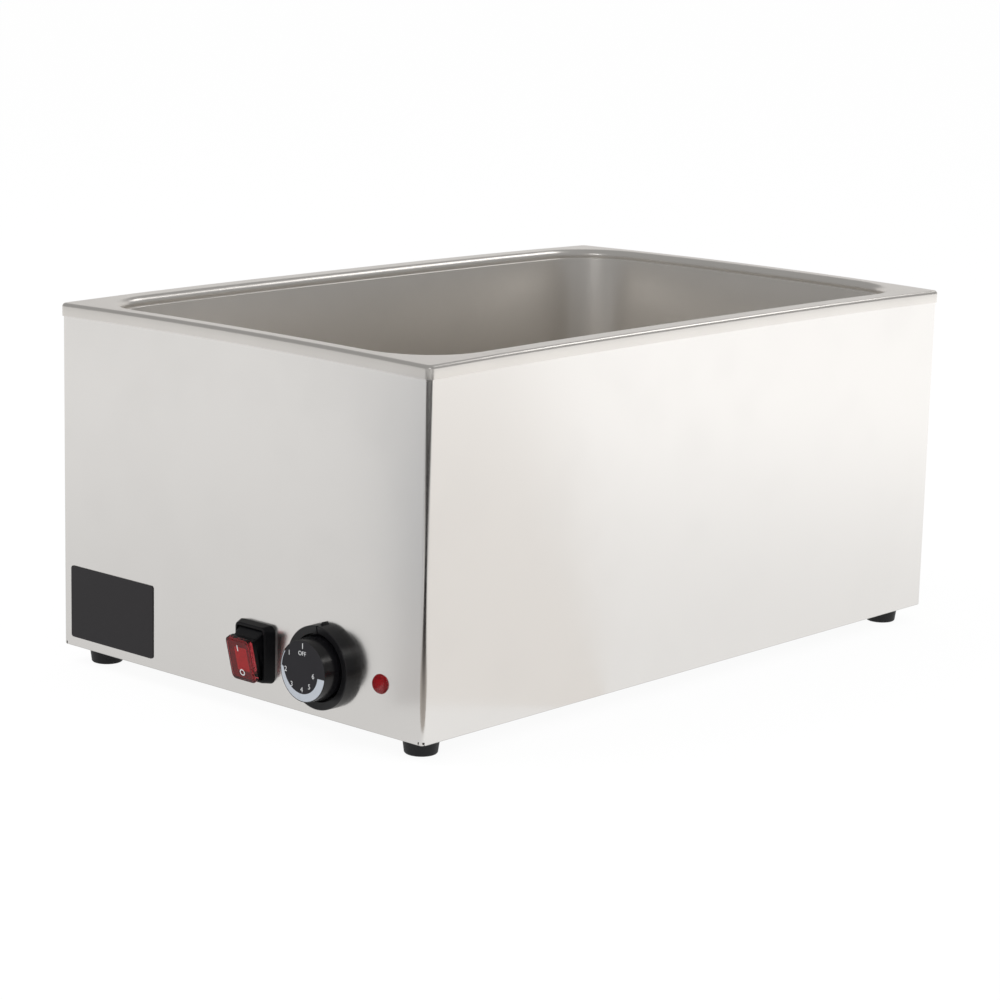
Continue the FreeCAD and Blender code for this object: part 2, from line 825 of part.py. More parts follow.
def nuts(label, places, level, flats, height, bore):
    """Make a group of hexagon nuts."""
    body = new_body(label, separate=True)
    outline = new_sketch(body, level=level)
    hexagons(outline, places, flats)
    circles(outline, places, bore)
    pad(body, outline, height)
    return body


def studs(label, places, level, length, radius):
    """Make a group of plain studs."""
    body = new_body(label, separate=True)
    outline = new_sketch(body, level=level)
    circles(outline, places, radius)
    pad(body, outline, length)
    return body


def casing_fasteners():
    """Screw the base plate and the back panel on, and bolt the tank down."""
    base = screws("base_screws", [(x, f"-({y})") for x, y in wrap_screw_places() + panel_screw_places()],
                  "screw_length")
    stand(base, "0", "0", "foot_height", "180")
    rear = screws("back_panel_screws", [(x, f"-({z})") for x, z in rear_screw_places()], "screw_length")
    stand(rear, "0", "casing_y", "0", "-90")
    studs("tank_studs", stud_places(), "rim_under - stud_length", "stud_length", "screw_radius")
    nuts("tank_nuts", stud_places(), "rim_under - sheet_metal - nut_height", "nut_flats", "nut_height",
         "screw_radius + running_gap")


# Feet

def foot(label, x, y):
    """Mould one rubber foot with a recess for its screw."""
    body = new_body(label)
    revolve(body, [
        ("hole_radius", "foot_recess_depth"), ("foot_recess_radius", "foot_recess_depth"),
        ("foot_recess_radius", "0"), ("foot_tread_radius", "0"),
        ("foot_radius", "foot_height"), ("hole_radius", "foot_height"),
    ])
    tread = [name for name in edges_at(body, "0")
             if body.Tip.Shape.getElement(name).BoundBox.XMax > value("foot_recess_radius") + NEAR]
    fillet(body, "foot_edge", tread)
    stand(body, x, y, "0")


def feet():
    """Stand the casing on four feet, each held by a screw, a washer and a nut."""
    foot("foot_front_left", "-foot_x", "-foot_y")
    foot("foot_front_right", "foot_x", "-foot_y")
    foot("foot_rear_left", "-foot_x", "foot_y")
    foot("foot_rear_right", "foot_x", "foot_y")
    places = corners("foot_x", "foot_y")
    bolts = screws("foot_screws", places,
                   "casing_bottom + sheet_metal + nut_height + thread_past_nut - foot_recess_depth")
    stand(bolts, "0", "0", "foot_recess_depth", "180")
    washers = new_body("foot_washers", separate=True)
    rings = new_sketch(washers, level="casing_bottom")
    circles(rings, places, "washer_radius")
    circles(rings, places, "hole_radius")
    pad(washers, rings, "sheet_metal")
    nuts("foot_nuts", places, "casing_bottom + sheet_metal", "nut_flats", "nut_height",
         "screw_radius + running_gap")


# Front face

def label_plate():
    """Stick a blank plate on the front face."""
    body = new_body("label_plate")
    outline = new_sketch(body, "XZ_Plane", "casing_y")
    rounded_rectangle(outline, "label_width / 2", "label_height / 2", "label_corner",
                      "label_x", "label_z")
    pad(body, outline, "label_thickness")


def switch_frame():
    """Surround the rocker with a moulded frame that flares towards its foot."""
    body = new_body("switch_frame")
    foot = new_sketch(body)
    rounded_rectangle(foot, "frame_width / 2 + frame_flare_side", "frame_height / 2 + frame_flare_end",
                      "frame_foot_corner")
    shoulder = new_sketch(body, level="frame_depth - frame_edge")
    rounded_rectangle(shoulder, "frame_width / 2", "frame_height / 2", "frame_corner")
    front = new_sketch(body, level="frame_depth")
    rounded_rectangle(front, "frame_width / 2 - frame_edge", "frame_height / 2 - frame_edge",
                      "frame_corner - frame_edge")
    loft(body, foot, shoulder, front)
    inside = new_sketch(body, level="frame_floor")
    rounded_rectangle(inside, "frame_width / 2 - frame_wall", "frame_height / 2 - frame_wall",
                      "frame_corner - frame_wall")
    pocket(body, inside, "frame_depth - frame_floor")
    floor = new_sketch(body)
    rectangle(floor, "-(switch_width / 2 + switch_gap)", "switch_width / 2 + switch_gap",
              "-(switch_height / 2 + switch_gap)", "switch_height / 2 + switch_gap")
    pocket(body, floor, "frame_floor")
    on_front(body, "switch")


def switch_boot():
    """Seat the foot of a rubber boot inside the frame, clear of the rocker at both ends of its travel."""
    body = new_body("switch_boot")
    outside = new_sketch(body, level="frame_floor")
    rounded_rectangle(outside, "frame_width / 2 - frame_wall", "frame_height / 2 - frame_wall",
                      "frame_corner - frame_wall")
    rectangle(outside, "-boot_lip_width / 2", "boot_lip_width / 2",
              "-boot_lip_length / 2", "boot_lip_length / 2")
    pad(body, outside, "boot_lip_top - frame_floor")
    on_front(body, "switch")


def switch_body():
    """Mould the switch's body with two cheeks that hold the rocker's axle."""
    body = new_body("switch_body")
    block = new_sketch(body, level="-(sheet_metal + switch_reach)")
    rectangle(block, "-switch_width / 2", "switch_width / 2", "-switch_height / 2", "switch_height / 2")
    pad(body, block, "sheet_metal + switch_reach - switch_sink")
    cheeks = new_sketch(body, level="-switch_sink")
    rectangle(cheeks, "-cheek_outer", "cheek_thickness - cheek_outer", "-cheek_half", "cheek_half")
    rectangle(cheeks, "cheek_outer - cheek_thickness", "cheek_outer", "-cheek_half", "cheek_half")
    pad(body, cheeks, "switch_sink - pivot_sink + cheek_top")
    axle = new_sketch(body, "YZ_Plane", "-cheek_outer")
    circles(axle, [("0", "-pivot_sink")], "axle_radius + running_gap")
    pocket(body, axle, "2 * cheek_outer")
    on_front(body, "switch")


def switch_terminals():
    """Stand four blades behind the switch."""
    body = new_body("switch_terminals", separate=True)
    outline = new_sketch(body, level="-(sheet_metal + switch_reach + blade_length)")
    for x, y in corners("blade_offset", "blade_row"):
        rectangle(outline, f"{x} - blade_thickness / 2", f"{x} + blade_thickness / 2",
                  f"{y} - blade_width / 2", f"{y} + blade_width / 2")
    pad(body, outline, "blade_length")
    on_front(body, "switch")


def rocker_carrier():
    """Mould the tilting block, its stem and its axle in one."""
    body = new_body("rocker_carrier")
    side = "(cheek_outer - cheek_thickness - stem_side_gap)"
    stem = new_sketch(body, "YZ_Plane", f"-{side}")
    polygon(stem, [("-stem_foot", "-stem_drop"), ("stem_foot", "-stem_drop"),
                   ("stem_top", "carrier_low"), ("-stem_top", "carrier_low")])
    pad(body, stem, f"2 * {side}")
    block = new_sketch(body, level="carrier_low")
    rounded_rectangle(block, "carrier_width / 2", "carrier_length / 2", "lens_corner / 2")
    pad(body, block, "lens_back - carrier_low")
    axle = new_sketch(body, "YZ_Plane", "-cheek_outer")
    circles(axle, [("0", "0")], "axle_radius")
    pad(body, axle, "2 * cheek_outer")
    on_front(body, "switch", "-pivot_sink", "rocker_tilt")


def rocker_lens():
    """Clip the translucent face over the carrier."""
    body = new_body("rocker_lens")
    outline = new_sketch(body, level="lens_back")
    rounded_rectangle(outline, "lens_width / 2", "lens_length / 2", "lens_corner")
    pad(body, outline, "lens_face - lens_back")
    fillet(body, "lens_edge", edges_at(body, "lens_face"))
    on_front(body, "switch", "-pivot_sink", "rocker_tilt")


# Thermostat and knob

def thermostat_bezel():
    """Mould the round bezel, its ring dished towards the knob."""
    body = new_body("thermostat_bezel")
    revolve(body, [
        ("boss_radius + hole_gap", "0"), ("bezel_base_radius", "0"),
        ("bezel_front_radius", "bezel_depth - bezel_edge"),
        ("bezel_front_radius - bezel_edge", "bezel_depth"),
        ("bezel_inner_radius", "bezel_inner_depth"), ("bezel_inner_radius", "bezel_floor"),
        ("boss_radius + hole_gap", "bezel_floor"),
    ])
    nub = new_sketch(body)
    root = "bezel_base_radius - nub_root"
    polygon(nub, [("-nub_width / 2", root), ("nub_width / 2", root),
                  ("nub_width / 2", "bezel_base_radius"), ("0", "bezel_base_radius + nub_rise"),
                  ("-nub_width / 2", "bezel_base_radius")])
    pad(body, nub, "nub_depth")
    index = new_sketch(body, level="bezel_inner_depth - index_depth")
    rectangle(index, "-index_width / 2", "index_width / 2",
              "bezel_inner_radius - cut_over", "bezel_front_radius + cut_over")
    pocket(body, index, "bezel_depth - bezel_inner_depth + index_depth")
    holes = new_sketch(body)
    circles(holes, [("-thermostat_screw_offset", "0"), ("thermostat_screw_offset", "0")], "hole_radius")
    pocket(body, holes, "bezel_floor")
    on_front(body, "knob")


def thermostat_body():
    """House the thermostat behind the front face, its boss reaching through."""
    body = new_body("thermostat_body")
    block = new_sketch(body, level="-(sheet_metal + thermostat_depth)")
    rounded_rectangle(block, "thermostat_width / 2", "thermostat_height / 2", "thermostat_corner")
    pad(body, block, "thermostat_depth")
    boss = new_sketch(body, level="-sheet_metal")
    circles(boss, [("0", "0")], "boss_radius")
    pad(body, boss, "sheet_metal + bezel_floor")
    bore = new_sketch(body, level="-(shaft_inner + shaft_end_gap)")
    circles(bore, [("0", "0")], "shaft_radius + running_gap")
    pocket(body, bore, "shaft_inner + shaft_end_gap + bezel_floor")
    holes = new_sketch(body, level="-(thermostat_screw_length + shaft_end_gap)")
    circles(holes, [("-thermostat_screw_offset", "0"), ("thermostat_screw_offset", "0")],
            "screw_radius + running_gap")
    pocket(body, holes, "thermostat_screw_length + shaft_end_gap - sheet_metal")
    on_front(body, "knob")


def thermostat_screws():
    """Screw the bezel and the thermostat together through the front face."""
    body = screws("thermostat_screws", [("-thermostat_screw_offset", "0"), ("thermostat_screw_offset", "0")],
                  "thermostat_screw_length + bezel_floor", height="thermostat_head_height")
    on_front(body, "knob", "bezel_floor")


def thermostat_terminals():
    """Stand three blades behind the thermostat."""
    body = new_body("thermostat_terminals", separate=True)
    outline = new_sketch(body, level="-(sheet_metal + thermostat_depth + blade_length)")
    for step in (-1, 0, 1):
        x = f"{step} * blade_row"
        rectangle(outline, f"{x} - blade_thickness / 2", f"{x} + blade_thickness / 2",
                  "-blade_width / 2", "blade_width / 2")
    pad(body, outline, "blade_length")
    on_front(body, "knob")


def thermostat_shaft():
    """Turn the control shaft and mill its flat."""
    body = new_body("thermostat_shaft")
    outline = new_sketch(body, level="-shaft_inner")
    circles(outline, [("0", "0")], "shaft_radius")
    pad(body, outline, "shaft_inner + shaft_outer")
    flat = new_sketch(body, level="hub_back")
    rectangle(flat, "shaft_flat", "shaft_radius + cut_over", "-shaft_radius", "shaft_radius")
    pocket(body, flat, "shaft_outer - hub_back")
    on_front(body, "knob")


def thermostat_knob():
    """Mould the knob as a hollow cap with a hub on the shaft."""
    body = new_body("thermostat_knob")
    bore, top = "shaft_radius + running_gap", "shaft_outer + shaft_end_gap"
    rim = "dial_radius + dial_gap"
    revolve(body, [
        ("0", top), (bore, top), (bore, "hub_back"), ("hub_radius", "hub_back"),
        ("hub_radius", "hollow_top"), ("knob_face_radius - knob_wall", "hollow_top"),
        ("knob_base_radius - knob_wall", "knob_back"), ("knob_base_radius", "knob_back"),
        ("knob_face_radius", "knob_front - knob_edge"), ("knob_face_radius - knob_edge", "knob_front"),
        (rim, "knob_front"), (rim, "dial_seat"), ("0", "dial_seat"),
    ])
    flat = new_sketch(body, level="hub_back")
    rectangle(flat, "shaft_flat + running_gap", "shaft_radius + cut_over", "-shaft_radius", "shaft_radius")
    pad(body, flat, f"{top} - hub_back")
    on_front(body, "knob")


def knob_dial():
    """Set the printed dial into the knob's face."""
    body = new_body("knob_dial")
    outline = new_sketch(body, level="dial_seat")
    circles(outline, [("0", "0")], "dial_radius")
    pad(body, outline, "dial_thickness")
    on_front(body, "knob")


def knob_spring():
    """Clamp the hub on the shaft with an open spring ring."""
    body = new_body("knob_spring")
    inner = "hub_radius + running_gap"
    revolve(body, [
        (inner, "spring_back"), (f"{inner} + spring_thickness", "spring_back"),
        (f"{inner} + spring_thickness", "spring_back + spring_height"),
        (inner, "spring_back + spring_height"),
    ], "spring_angle")
    on_front(body, "knob")


# Pilot lamp

def pilot_lamp():
    """Seat a domed lens on the face, with its lamp body and push-on nut behind."""
    lens = new_body("pilot_lens")
    revolve(lens, [
        ("lamp_bore_radius", "0"), ("lamp_flange_radius", "0"), ("lamp_flange_radius", "lamp_flange"),
        ("lamp_waist_radius", "lamp_flange"), ("lamp_shoulder_radius", "lamp_shoulder"),
        ("lamp_top_radius", "lamp_height"), ("0", "lamp_height"), ("0", "lamp_bore"),
        ("lamp_bore_radius", "lamp_bore"),
    ])
    on_front(lens, "lamp")
    body = new_body("pilot_body")
    revolve(body, [
        ("0", "-lamp_reach"), ("lamp_body_radius", "-lamp_reach"), ("lamp_body_radius", "0"),
        ("lamp_bore_radius - hole_gap", "0"), ("lamp_bore_radius - hole_gap", "lamp_bore - hole_gap"),
        ("0", "lamp_bore - hole_gap"),
    ])
    on_front(body, "lamp")
    nut = new_body("pilot_nut")
    ring = new_sketch(nut, level="-(sheet_metal + lamp_nut_height)")
    circles(ring, [("0", "0")], "lamp_nut_radius")
    circles(ring, [("0", "0")], "lamp_body_radius + running_gap")
    pad(nut, ring, "lamp_nut_height")
    on_front(nut, "lamp")


# Heating under the well

def heating_element():
    """Bend a tubular element into an open loop under the well, its ends turned down."""
    x, y = value("element_x"), value("element_y")
    gap, height = value("element_gap_half"), value("element_z")
    low = height - value("element_drop")
    bend = value("element_bend")
    loop = rounded_path([
        (-gap, -y, height), (-x, -y, height), (-x, y, height),
        (x, y, height), (x, -y, height), (gap, -y, height),
    ], bend)
    drop = value("element_drop_bend")
    ends = []
    for side in (-1, 1):
        inner = side * (gap - drop)
        ends.append(rounded_path([(side * gap, -y, height), (inner, -y, height),
                                  (inner, -y, low)], value("element_drop_bend - running_gap / 10")))
    radius = value("element_radius")
    shape = tube(loop, radius)
    for end in ends:
        shape = shape.fuse(tube(end, radius))
    add_shape("heating_element", shape.removeSplitter())


def heater_plate():
    """Clamp the element against the well with a flat plate."""
    body = new_body("heater_plate")
    outline = new_sketch(body, level="heater_plate_low")
    rounded_rectangle(outline, "heater_plate_x", "heater_plate_y", "heater_plate_corner")
    circles(outline, corners("heater_stud_x", "heater_stud_y"), "heater_stud_radius + hole_gap")
    circles(outline, cutout_screw_places(), "cutout_screw_radius + running_gap")
    pad(body, outline, "heater_plate_thickness")
    slot = new_sketch(body, level="heater_plate_low")
    end = "element_gap_half + element_radius"
    rectangle(slot, f"-({end})", end, "-heater_plate_y - cut_over",
              "element_radius + slot_margin - element_y")
    pocket(body, slot, "heater_plate_thickness")
    places = corners("heater_stud_x", "heater_stud_y")
    studs("heater_studs", places, "well_under - heater_stud_length", "heater_stud_length",
          "heater_stud_radius")
    nuts("heater_nuts", places, "heater_plate_low - heater_nut_height", "heater_nut_flats",
         "heater_nut_height", "heater_stud_radius + running_gap")


def heater_terminals():
    """End the element in two pins, each with a bead round it."""
    body = new_body("heater_terminals", separate=True)
    ends = [(f"{side}(element_gap_half - element_drop_bend)", "-element_y") for side in ("-", "")]
    low = "element_z - element_drop"
    beads = new_sketch(body, level=f"{low} - bead_length")
    circles(beads, ends, "bead_radius")
    pad(body, beads, "bead_length")
    pins = new_sketch(body, level=f"{low} - pin_length")
    circles(pins, ends, "pin_radius")
    pad(body, pins, "pin_length")


def cutout_screw_places():
    """List the two screws of the thermal cut-out."""
    return [(f"{side}cutout_screw_offset", "cutout_y") for side in ("-", "")]


def thermal_cutout():
    """Screw a disc cut-out to the underside of the heater plate."""
    body = new_body("thermal_cutout")
    ear = new_sketch(body, level="heater_plate_low - cutout_ear_thickness")
    rounded_rectangle(ear, "cutout_ear_length / 2", "cutout_ear_width / 2",
                      "cutout_ear_width / 2 - cutout_ear_flat", "0", "cutout_y")
    circles(ear, cutout_screw_places(), "cutout_screw_radius + running_gap")
    pad(body, ear, "cutout_ear_thickness")
    disc = new_sketch(body, level="heater_plate_low - cutout_height")
    circles(disc, [("0", "cutout_y")], "cutout_radius")
    pad(body, disc, "cutout_height")
    bolts = screws("cutout_screws", [(x, f"-({y})") for x, y in cutout_screw_places()],
                   "cutout_screw_length", "cutout_screw_head", "cutout_screw_head_height",
                   "cutout_screw_radius")
    stand(bolts, "0", "0", "heater_plate_low - cutout_ear_thickness", "180")


def sensor():
    """Lay the thermostat's bulb under the well, clipped up, and run its capillary forward."""
    bulb = new_body("sensor_bulb")
    outline = new_sketch(bulb, "XZ_Plane", "-(bulb_y + bulb_length / 2)")
    circles(outline, [("bulb_x", "bulb_z")], "bulb_radius")
    pad(bulb, outline, "bulb_length")
    clips = new_body("bulb_clips", separate=True)
    inner, outer = "bulb_radius + contact_gap", "bulb_radius + contact_gap + clip_thickness"
    for along in (-1, 1):
        start = f"-(bulb_y + {along} * clip_spread / 2 + clip_length / 2)"
        strap = new_sketch(clips, "XZ_Plane", start)
        polygon(strap, [
            (f"bulb_x - ({outer}) - clip_wing", "well_under"),
            (f"bulb_x - ({outer}) - clip_wing", "well_under - clip_thickness"),
            (f"bulb_x - ({outer})", "well_under - clip_thickness"),
            (f"bulb_x - ({outer})", f"bulb_z - ({outer})"),
            (f"bulb_x + {outer}", f"bulb_z - ({outer})"),
            (f"bulb_x + {outer}", "well_under - clip_thickness"),
            (f"bulb_x + {outer} + clip_wing", "well_under - clip_thickness"),
            (f"bulb_x + {outer} + clip_wing", "well_under"),
            (f"bulb_x + {inner}", "well_under"),
            (f"bulb_x + {inner}", f"bulb_z - ({inner})"),
            (f"bulb_x - ({inner})", f"bulb_z - ({inner})"),
            (f"bulb_x - ({inner})", "well_under"),
        ])
        pad(clips, strap, "clip_length")
    x, z = value("bulb_x"), value("bulb_z")
    front = value("bulb_y - bulb_length / 2")
    turn = -value("casing_y") + value("sheet_metal + thermostat_depth + capillary_front_gap")
    end_x = value("knob_x + thermostat_width / 2 - capillary_offset")
    end_y = -value("casing_y") + value("sheet_metal + thermostat_depth")
    end_z = value("knob_z + thermostat_height / 2 - capillary_offset")
    low = z - value("capillary_drop")
    path = rounded_path([(x, front, z), (x, turn, z), (x, turn, low), (end_x, turn, low),
                         (end_x, turn, end_z), (end_x, end_y, end_z)], value("capillary_bend"))
    shape = tube(path, value("capillary_radius"))
    print("capillary length", round(path.Length, 1), "volume ratio",
          round(shape.Volume / (path.Length * math.pi * value("capillary_radius") ** 2), 4))
    add_shape("capillary_tube", shape)


# Mains side

def terminal_block():
    """Stand a three-way block on the base plate, with its clamp screws."""
    body = new_body("terminal_block")
    outline = new_sketch(body, level="casing_bottom")
    rectangle(outline, "block_x - block_width / 2", "block_x + block_width / 2",
              "block_y - block_depth / 2", "block_y + block_depth / 2")
    pad(body, outline, "block_height")
    ways = new_sketch(body, "XZ_Plane", "-(block_y + block_depth / 2)")
    circles(ways, [(f"block_x + {step} * block_pitch", "casing_bottom + block_bore_height")
                   for step in (-1, 0, 1)], "block_bore")
    pocket(body, ways, "block_depth")
    places = [(f"block_x + {step} * block_pitch", f"block_y + {side} * block_screw_offset")
              for step in (-1, 0, 1) for side in (-1, 1)]
    wells = new_sketch(body, level="casing_bottom + block_bore_height")
    circles(wells, places, "block_screw_radius + hole_gap")
    pocket(body, wells, "block_height - block_bore_height")
    studs("terminal_screws", places,
          "casing_bottom + block_height - block_screw_sink - block_screw_length",
          "block_screw_length", "block_screw_radius")


def earth_point():
    """Weld an earth stud to the base plate and add its nut."""
    studs("earth_stud", [("earth_x", "block_y")], "casing_bottom", "earth_length", "earth_radius")
    nuts("earth_nut", [("earth_x", "block_y")], "casing_bottom", "earth_flats", "earth_nut_height",
         "earth_radius + running_gap")


# Cable gland

def on_back(body):
    """Place a piece on the back panel at the gland, its own Z pointing out."""
    stand(body, "gland_x", "back_face", "gland_z", "-90")


def cable_gland():
    """Clamp the mains entry in the back panel: body, seal, insert, cap and locknut."""
    body = new_body("gland_body")
    thread = new_sketch(body, level="-(sheet_metal + gland_inner)")
    circles(thread, [("0", "0")], "gland_thread_radius")
    pad(body, thread, "sheet_metal + gland_inner + gland_thread_out")
    collar = new_sketch(body, level="gland_seal_thickness")
    hexagons(collar, [("0", "0")], "gland_flats")
    pad(body, collar, "gland_hex")
    bore = new_sketch(body, level="-(sheet_metal + gland_inner)")
    circles(bore, [("0", "0")], "gland_bore_radius")
    pocket(body, bore, "sheet_metal + gland_inner + gland_thread_out")
    on_back(body)
    seal = new_body("gland_seal")
    ring = new_sketch(seal)
    circles(ring, [("0", "0")], "gland_seal_radius")
    circles(ring, [("0", "0")], "gland_thread_radius + running_gap")
    pad(seal, ring, "gland_seal_thickness")
    on_back(seal)
    nuts("gland_locknut", [("0", "0")], "-(sheet_metal + gland_nut_height)", "gland_flats",
         "gland_nut_height", "gland_thread_radius + running_gap")
    on_back(PARTS[-1])
    insert = new_body("gland_insert")
    revolve(insert, [
        ("cable_radius", "gland_cap_back"), ("gland_bore_radius - running_gap", "gland_cap_back"),
        ("gland_bore_radius - running_gap", "gland_reach - gland_cap_wall"),
        ("cable_radius", "gland_reach - gland_cap_wall"),
    ])
    on_back(insert)
    cap = new_body("gland_cap")
    hexagon = new_sketch(cap, level="gland_cap_back")
    hexagons(hexagon, [("0", "0")], "gland_cap_flats")
    pad(cap, hexagon, "gland_cap_hex")
    edge = "gland_cap_back + gland_cap_hex"
    dome = [
        ("0", f"{edge} - gland_collar"), ("gland_cap_flats / 2", f"{edge} - gland_collar"),
        ("gland_cap_flats / 2", f"{edge} + gland_collar"),
        ("gland_cap_top_radius", "gland_reach"), ("0", "gland_reach"),
    ]
    sketch = new_sketch(cap, "XZ_Plane")
    polygon(sketch, dome)
    turned = cap.newObject("PartDesign::Revolution", "gland_dome")
    turned.Profile = sketch
    turned.ReferenceAxis = (sketch, ["V_Axis"])
    turned.Angle = 360
    DOC.recompute()
    inside = new_sketch(cap, level="gland_cap_back")
    circles(inside, [("0", "0")], "gland_thread_radius + running_gap")
    pocket(cap, inside, "gland_thread_out + gland_end_gap - gland_cap_back")
    throat = new_sketch(cap, level="gland_cap_back")
    circles(throat, [("0", "0")], "gland_bore_radius")
    pocket(cap, throat, "gland_reach - gland_cap_wall - gland_cap_back")
    mouth = new_sketch(cap, level="gland_cap_back")
    circles(mouth, [("0", "0")], "cable_radius")
    pocket(cap, mouth, "gland_reach - gland_cap_back")
    on_back(cap)


def tank_insulation():
    """Wrap the well in a ring of mineral wool."""
    body = new_body("tank_insulation")
    ring = new_sketch(body, level="insulation_low")
    for out in ("insulation_gap", "insulation_gap + insulation_thickness"):
        rounded_rectangle(ring, f"wall_x + {out}", f"wall_y + {out}", f"wall_corner + {out}")
    pad(body, ring, "insulation_high - insulation_low")


def check_pieces():
    """Stop if a feature failed or a piece isn't sound."""
    for item in DOC.Objects:
        if "Invalid" in item.State or "Error" in item.State:
            raise ValueError(f"{item.Label} failed: {item.State}")
    for piece in PARTS:
        if piece.Shape.isNull() or not piece.Shape.isValid():
            raise ValueError(f"{piece.Label} has no sound shape")


def write_pieces():
    """Write each piece to its own file."""
    os.makedirs("parts", exist_ok=True)
    for piece in PARTS:
        piece.Shape.exportStep(f"parts/{piece.Label}.step")
    print(len(PARTS), "pieces written")


fill_sheet()
tank()
casing_wrap()
back_panel()
base_plate()
casing_fasteners()
feet()
label_plate()
switch_frame()
switch_boot()
switch_body()
switch_terminals()
rocker_carrier()
rocker_lens()
thermostat_bezel()
thermostat_body()
thermostat_screws()
thermostat_terminals()
thermostat_shaft()
thermostat_knob()
knob_dial()
knob_spring()
pilot_lamp()
heating_element()
heater_plate()
heater_terminals()
thermal_cutout()
sensor()
terminal_block()
earth_point()
cable_gland()
tank_insulation()
DOC.recompute()
check_pieces()
write_pieces()
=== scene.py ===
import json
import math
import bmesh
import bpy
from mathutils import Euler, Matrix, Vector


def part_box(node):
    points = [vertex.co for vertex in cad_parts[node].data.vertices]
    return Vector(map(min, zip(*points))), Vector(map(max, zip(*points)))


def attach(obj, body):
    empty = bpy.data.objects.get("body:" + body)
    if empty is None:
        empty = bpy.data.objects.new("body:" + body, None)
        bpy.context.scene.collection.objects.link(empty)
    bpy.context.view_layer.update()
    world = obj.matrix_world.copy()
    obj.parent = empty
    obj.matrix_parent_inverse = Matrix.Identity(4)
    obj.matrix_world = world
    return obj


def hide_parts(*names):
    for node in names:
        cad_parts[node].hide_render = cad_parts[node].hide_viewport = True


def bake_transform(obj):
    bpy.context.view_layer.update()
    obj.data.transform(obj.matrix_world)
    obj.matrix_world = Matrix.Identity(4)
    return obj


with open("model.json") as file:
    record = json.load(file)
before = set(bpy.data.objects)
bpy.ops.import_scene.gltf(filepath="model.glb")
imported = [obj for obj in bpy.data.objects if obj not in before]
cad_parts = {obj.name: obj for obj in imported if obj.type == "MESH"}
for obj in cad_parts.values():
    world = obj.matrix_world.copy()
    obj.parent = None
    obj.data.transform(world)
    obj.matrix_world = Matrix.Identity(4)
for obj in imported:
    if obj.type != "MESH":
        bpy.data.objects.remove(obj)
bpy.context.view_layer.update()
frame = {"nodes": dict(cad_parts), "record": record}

# %% [markdown]
# # Electric bain-marie
# A drawn steel well stands in a bent steel casing, with a rocker switch, a thermostat knob and a pilot
# lamp on its front face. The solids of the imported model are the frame. This script gives every one of
# them its finish, and makes again the pieces whose real form is finer than a plain solid: the tank, the
# rubber boot and lens of the switch, the print on the dial, the pilot lamp's jewel and the wool round the
# well.

MM = 0.001
nodes = frame["nodes"]
for material in list(bpy.data.materials):
    bpy.data.materials.remove(material)
bpy.ops.object.select_all(action="DESELECT")

# %% [markdown]
# ## Camera
# The photograph looks down a little at the right front corner from about two metres with a long lens, so
# the box's upright edges stay nearly parallel. A free camera turned by three angles gives that view. Its
# place was worked out from the edges of the casing, which is surer than turning it by eye.

# %% Camera
EYE = (1.326378, -1.498879, 0.520192)
AROUND = 0.729021
ABOVE = 0.206315
ROLL = 0.025132
LENS = 104.23
SENSOR = 36
NEAREST = 0.05
bpy.ops.object.camera_add(location=EYE)
camera = bpy.context.object
camera.name = "photo_camera"
camera.rotation_euler = (Matrix.Rotation(AROUND, 3, "Z") @ Matrix.Rotation(math.pi / 2 - ABOVE, 3, "X")
                         @ Matrix.Rotation(ROLL, 3, "Z")).to_euler()
camera.data.lens = LENS
camera.data.sensor_width = SENSOR
camera.data.clip_start = NEAREST
bpy.context.scene.camera = camera
print("camera at", [round(number, 3) for number in camera.location])

# %% [markdown]
# ## Writing finishes as sums
# A finish is a small graph of nodes. Wiring each one by hand hides what it says, so a socket is wrapped
# in a class whose arithmetic adds the Math nodes.

# %% A socket that can be added and multiplied
class Wire:
    """The output of a node, on which arithmetic adds Math nodes."""

    def __init__(self, finish, socket):
        self.finish = finish
        self.socket = socket

    def __add__(self, other):
        return self.finish.math("ADD", self, other)

    def __sub__(self, other):
        return self.finish.math("SUBTRACT", self, other)

    def __rsub__(self, other):
        return self.finish.math("SUBTRACT", other, self)

    def __mul__(self, other):
        return self.finish.math("MULTIPLY", self, other)

    __radd__ = __add__
    __rmul__ = __mul__


print("sums are written with", Wire.__name__)

# %% [markdown]
# ## A finish
# Every node comes from one method, which sets it up and feeds its sockets. Patterns read the object's own
# coordinates in millimetres, so a grain is as large as its number says and stays on a piece when it
# turns.

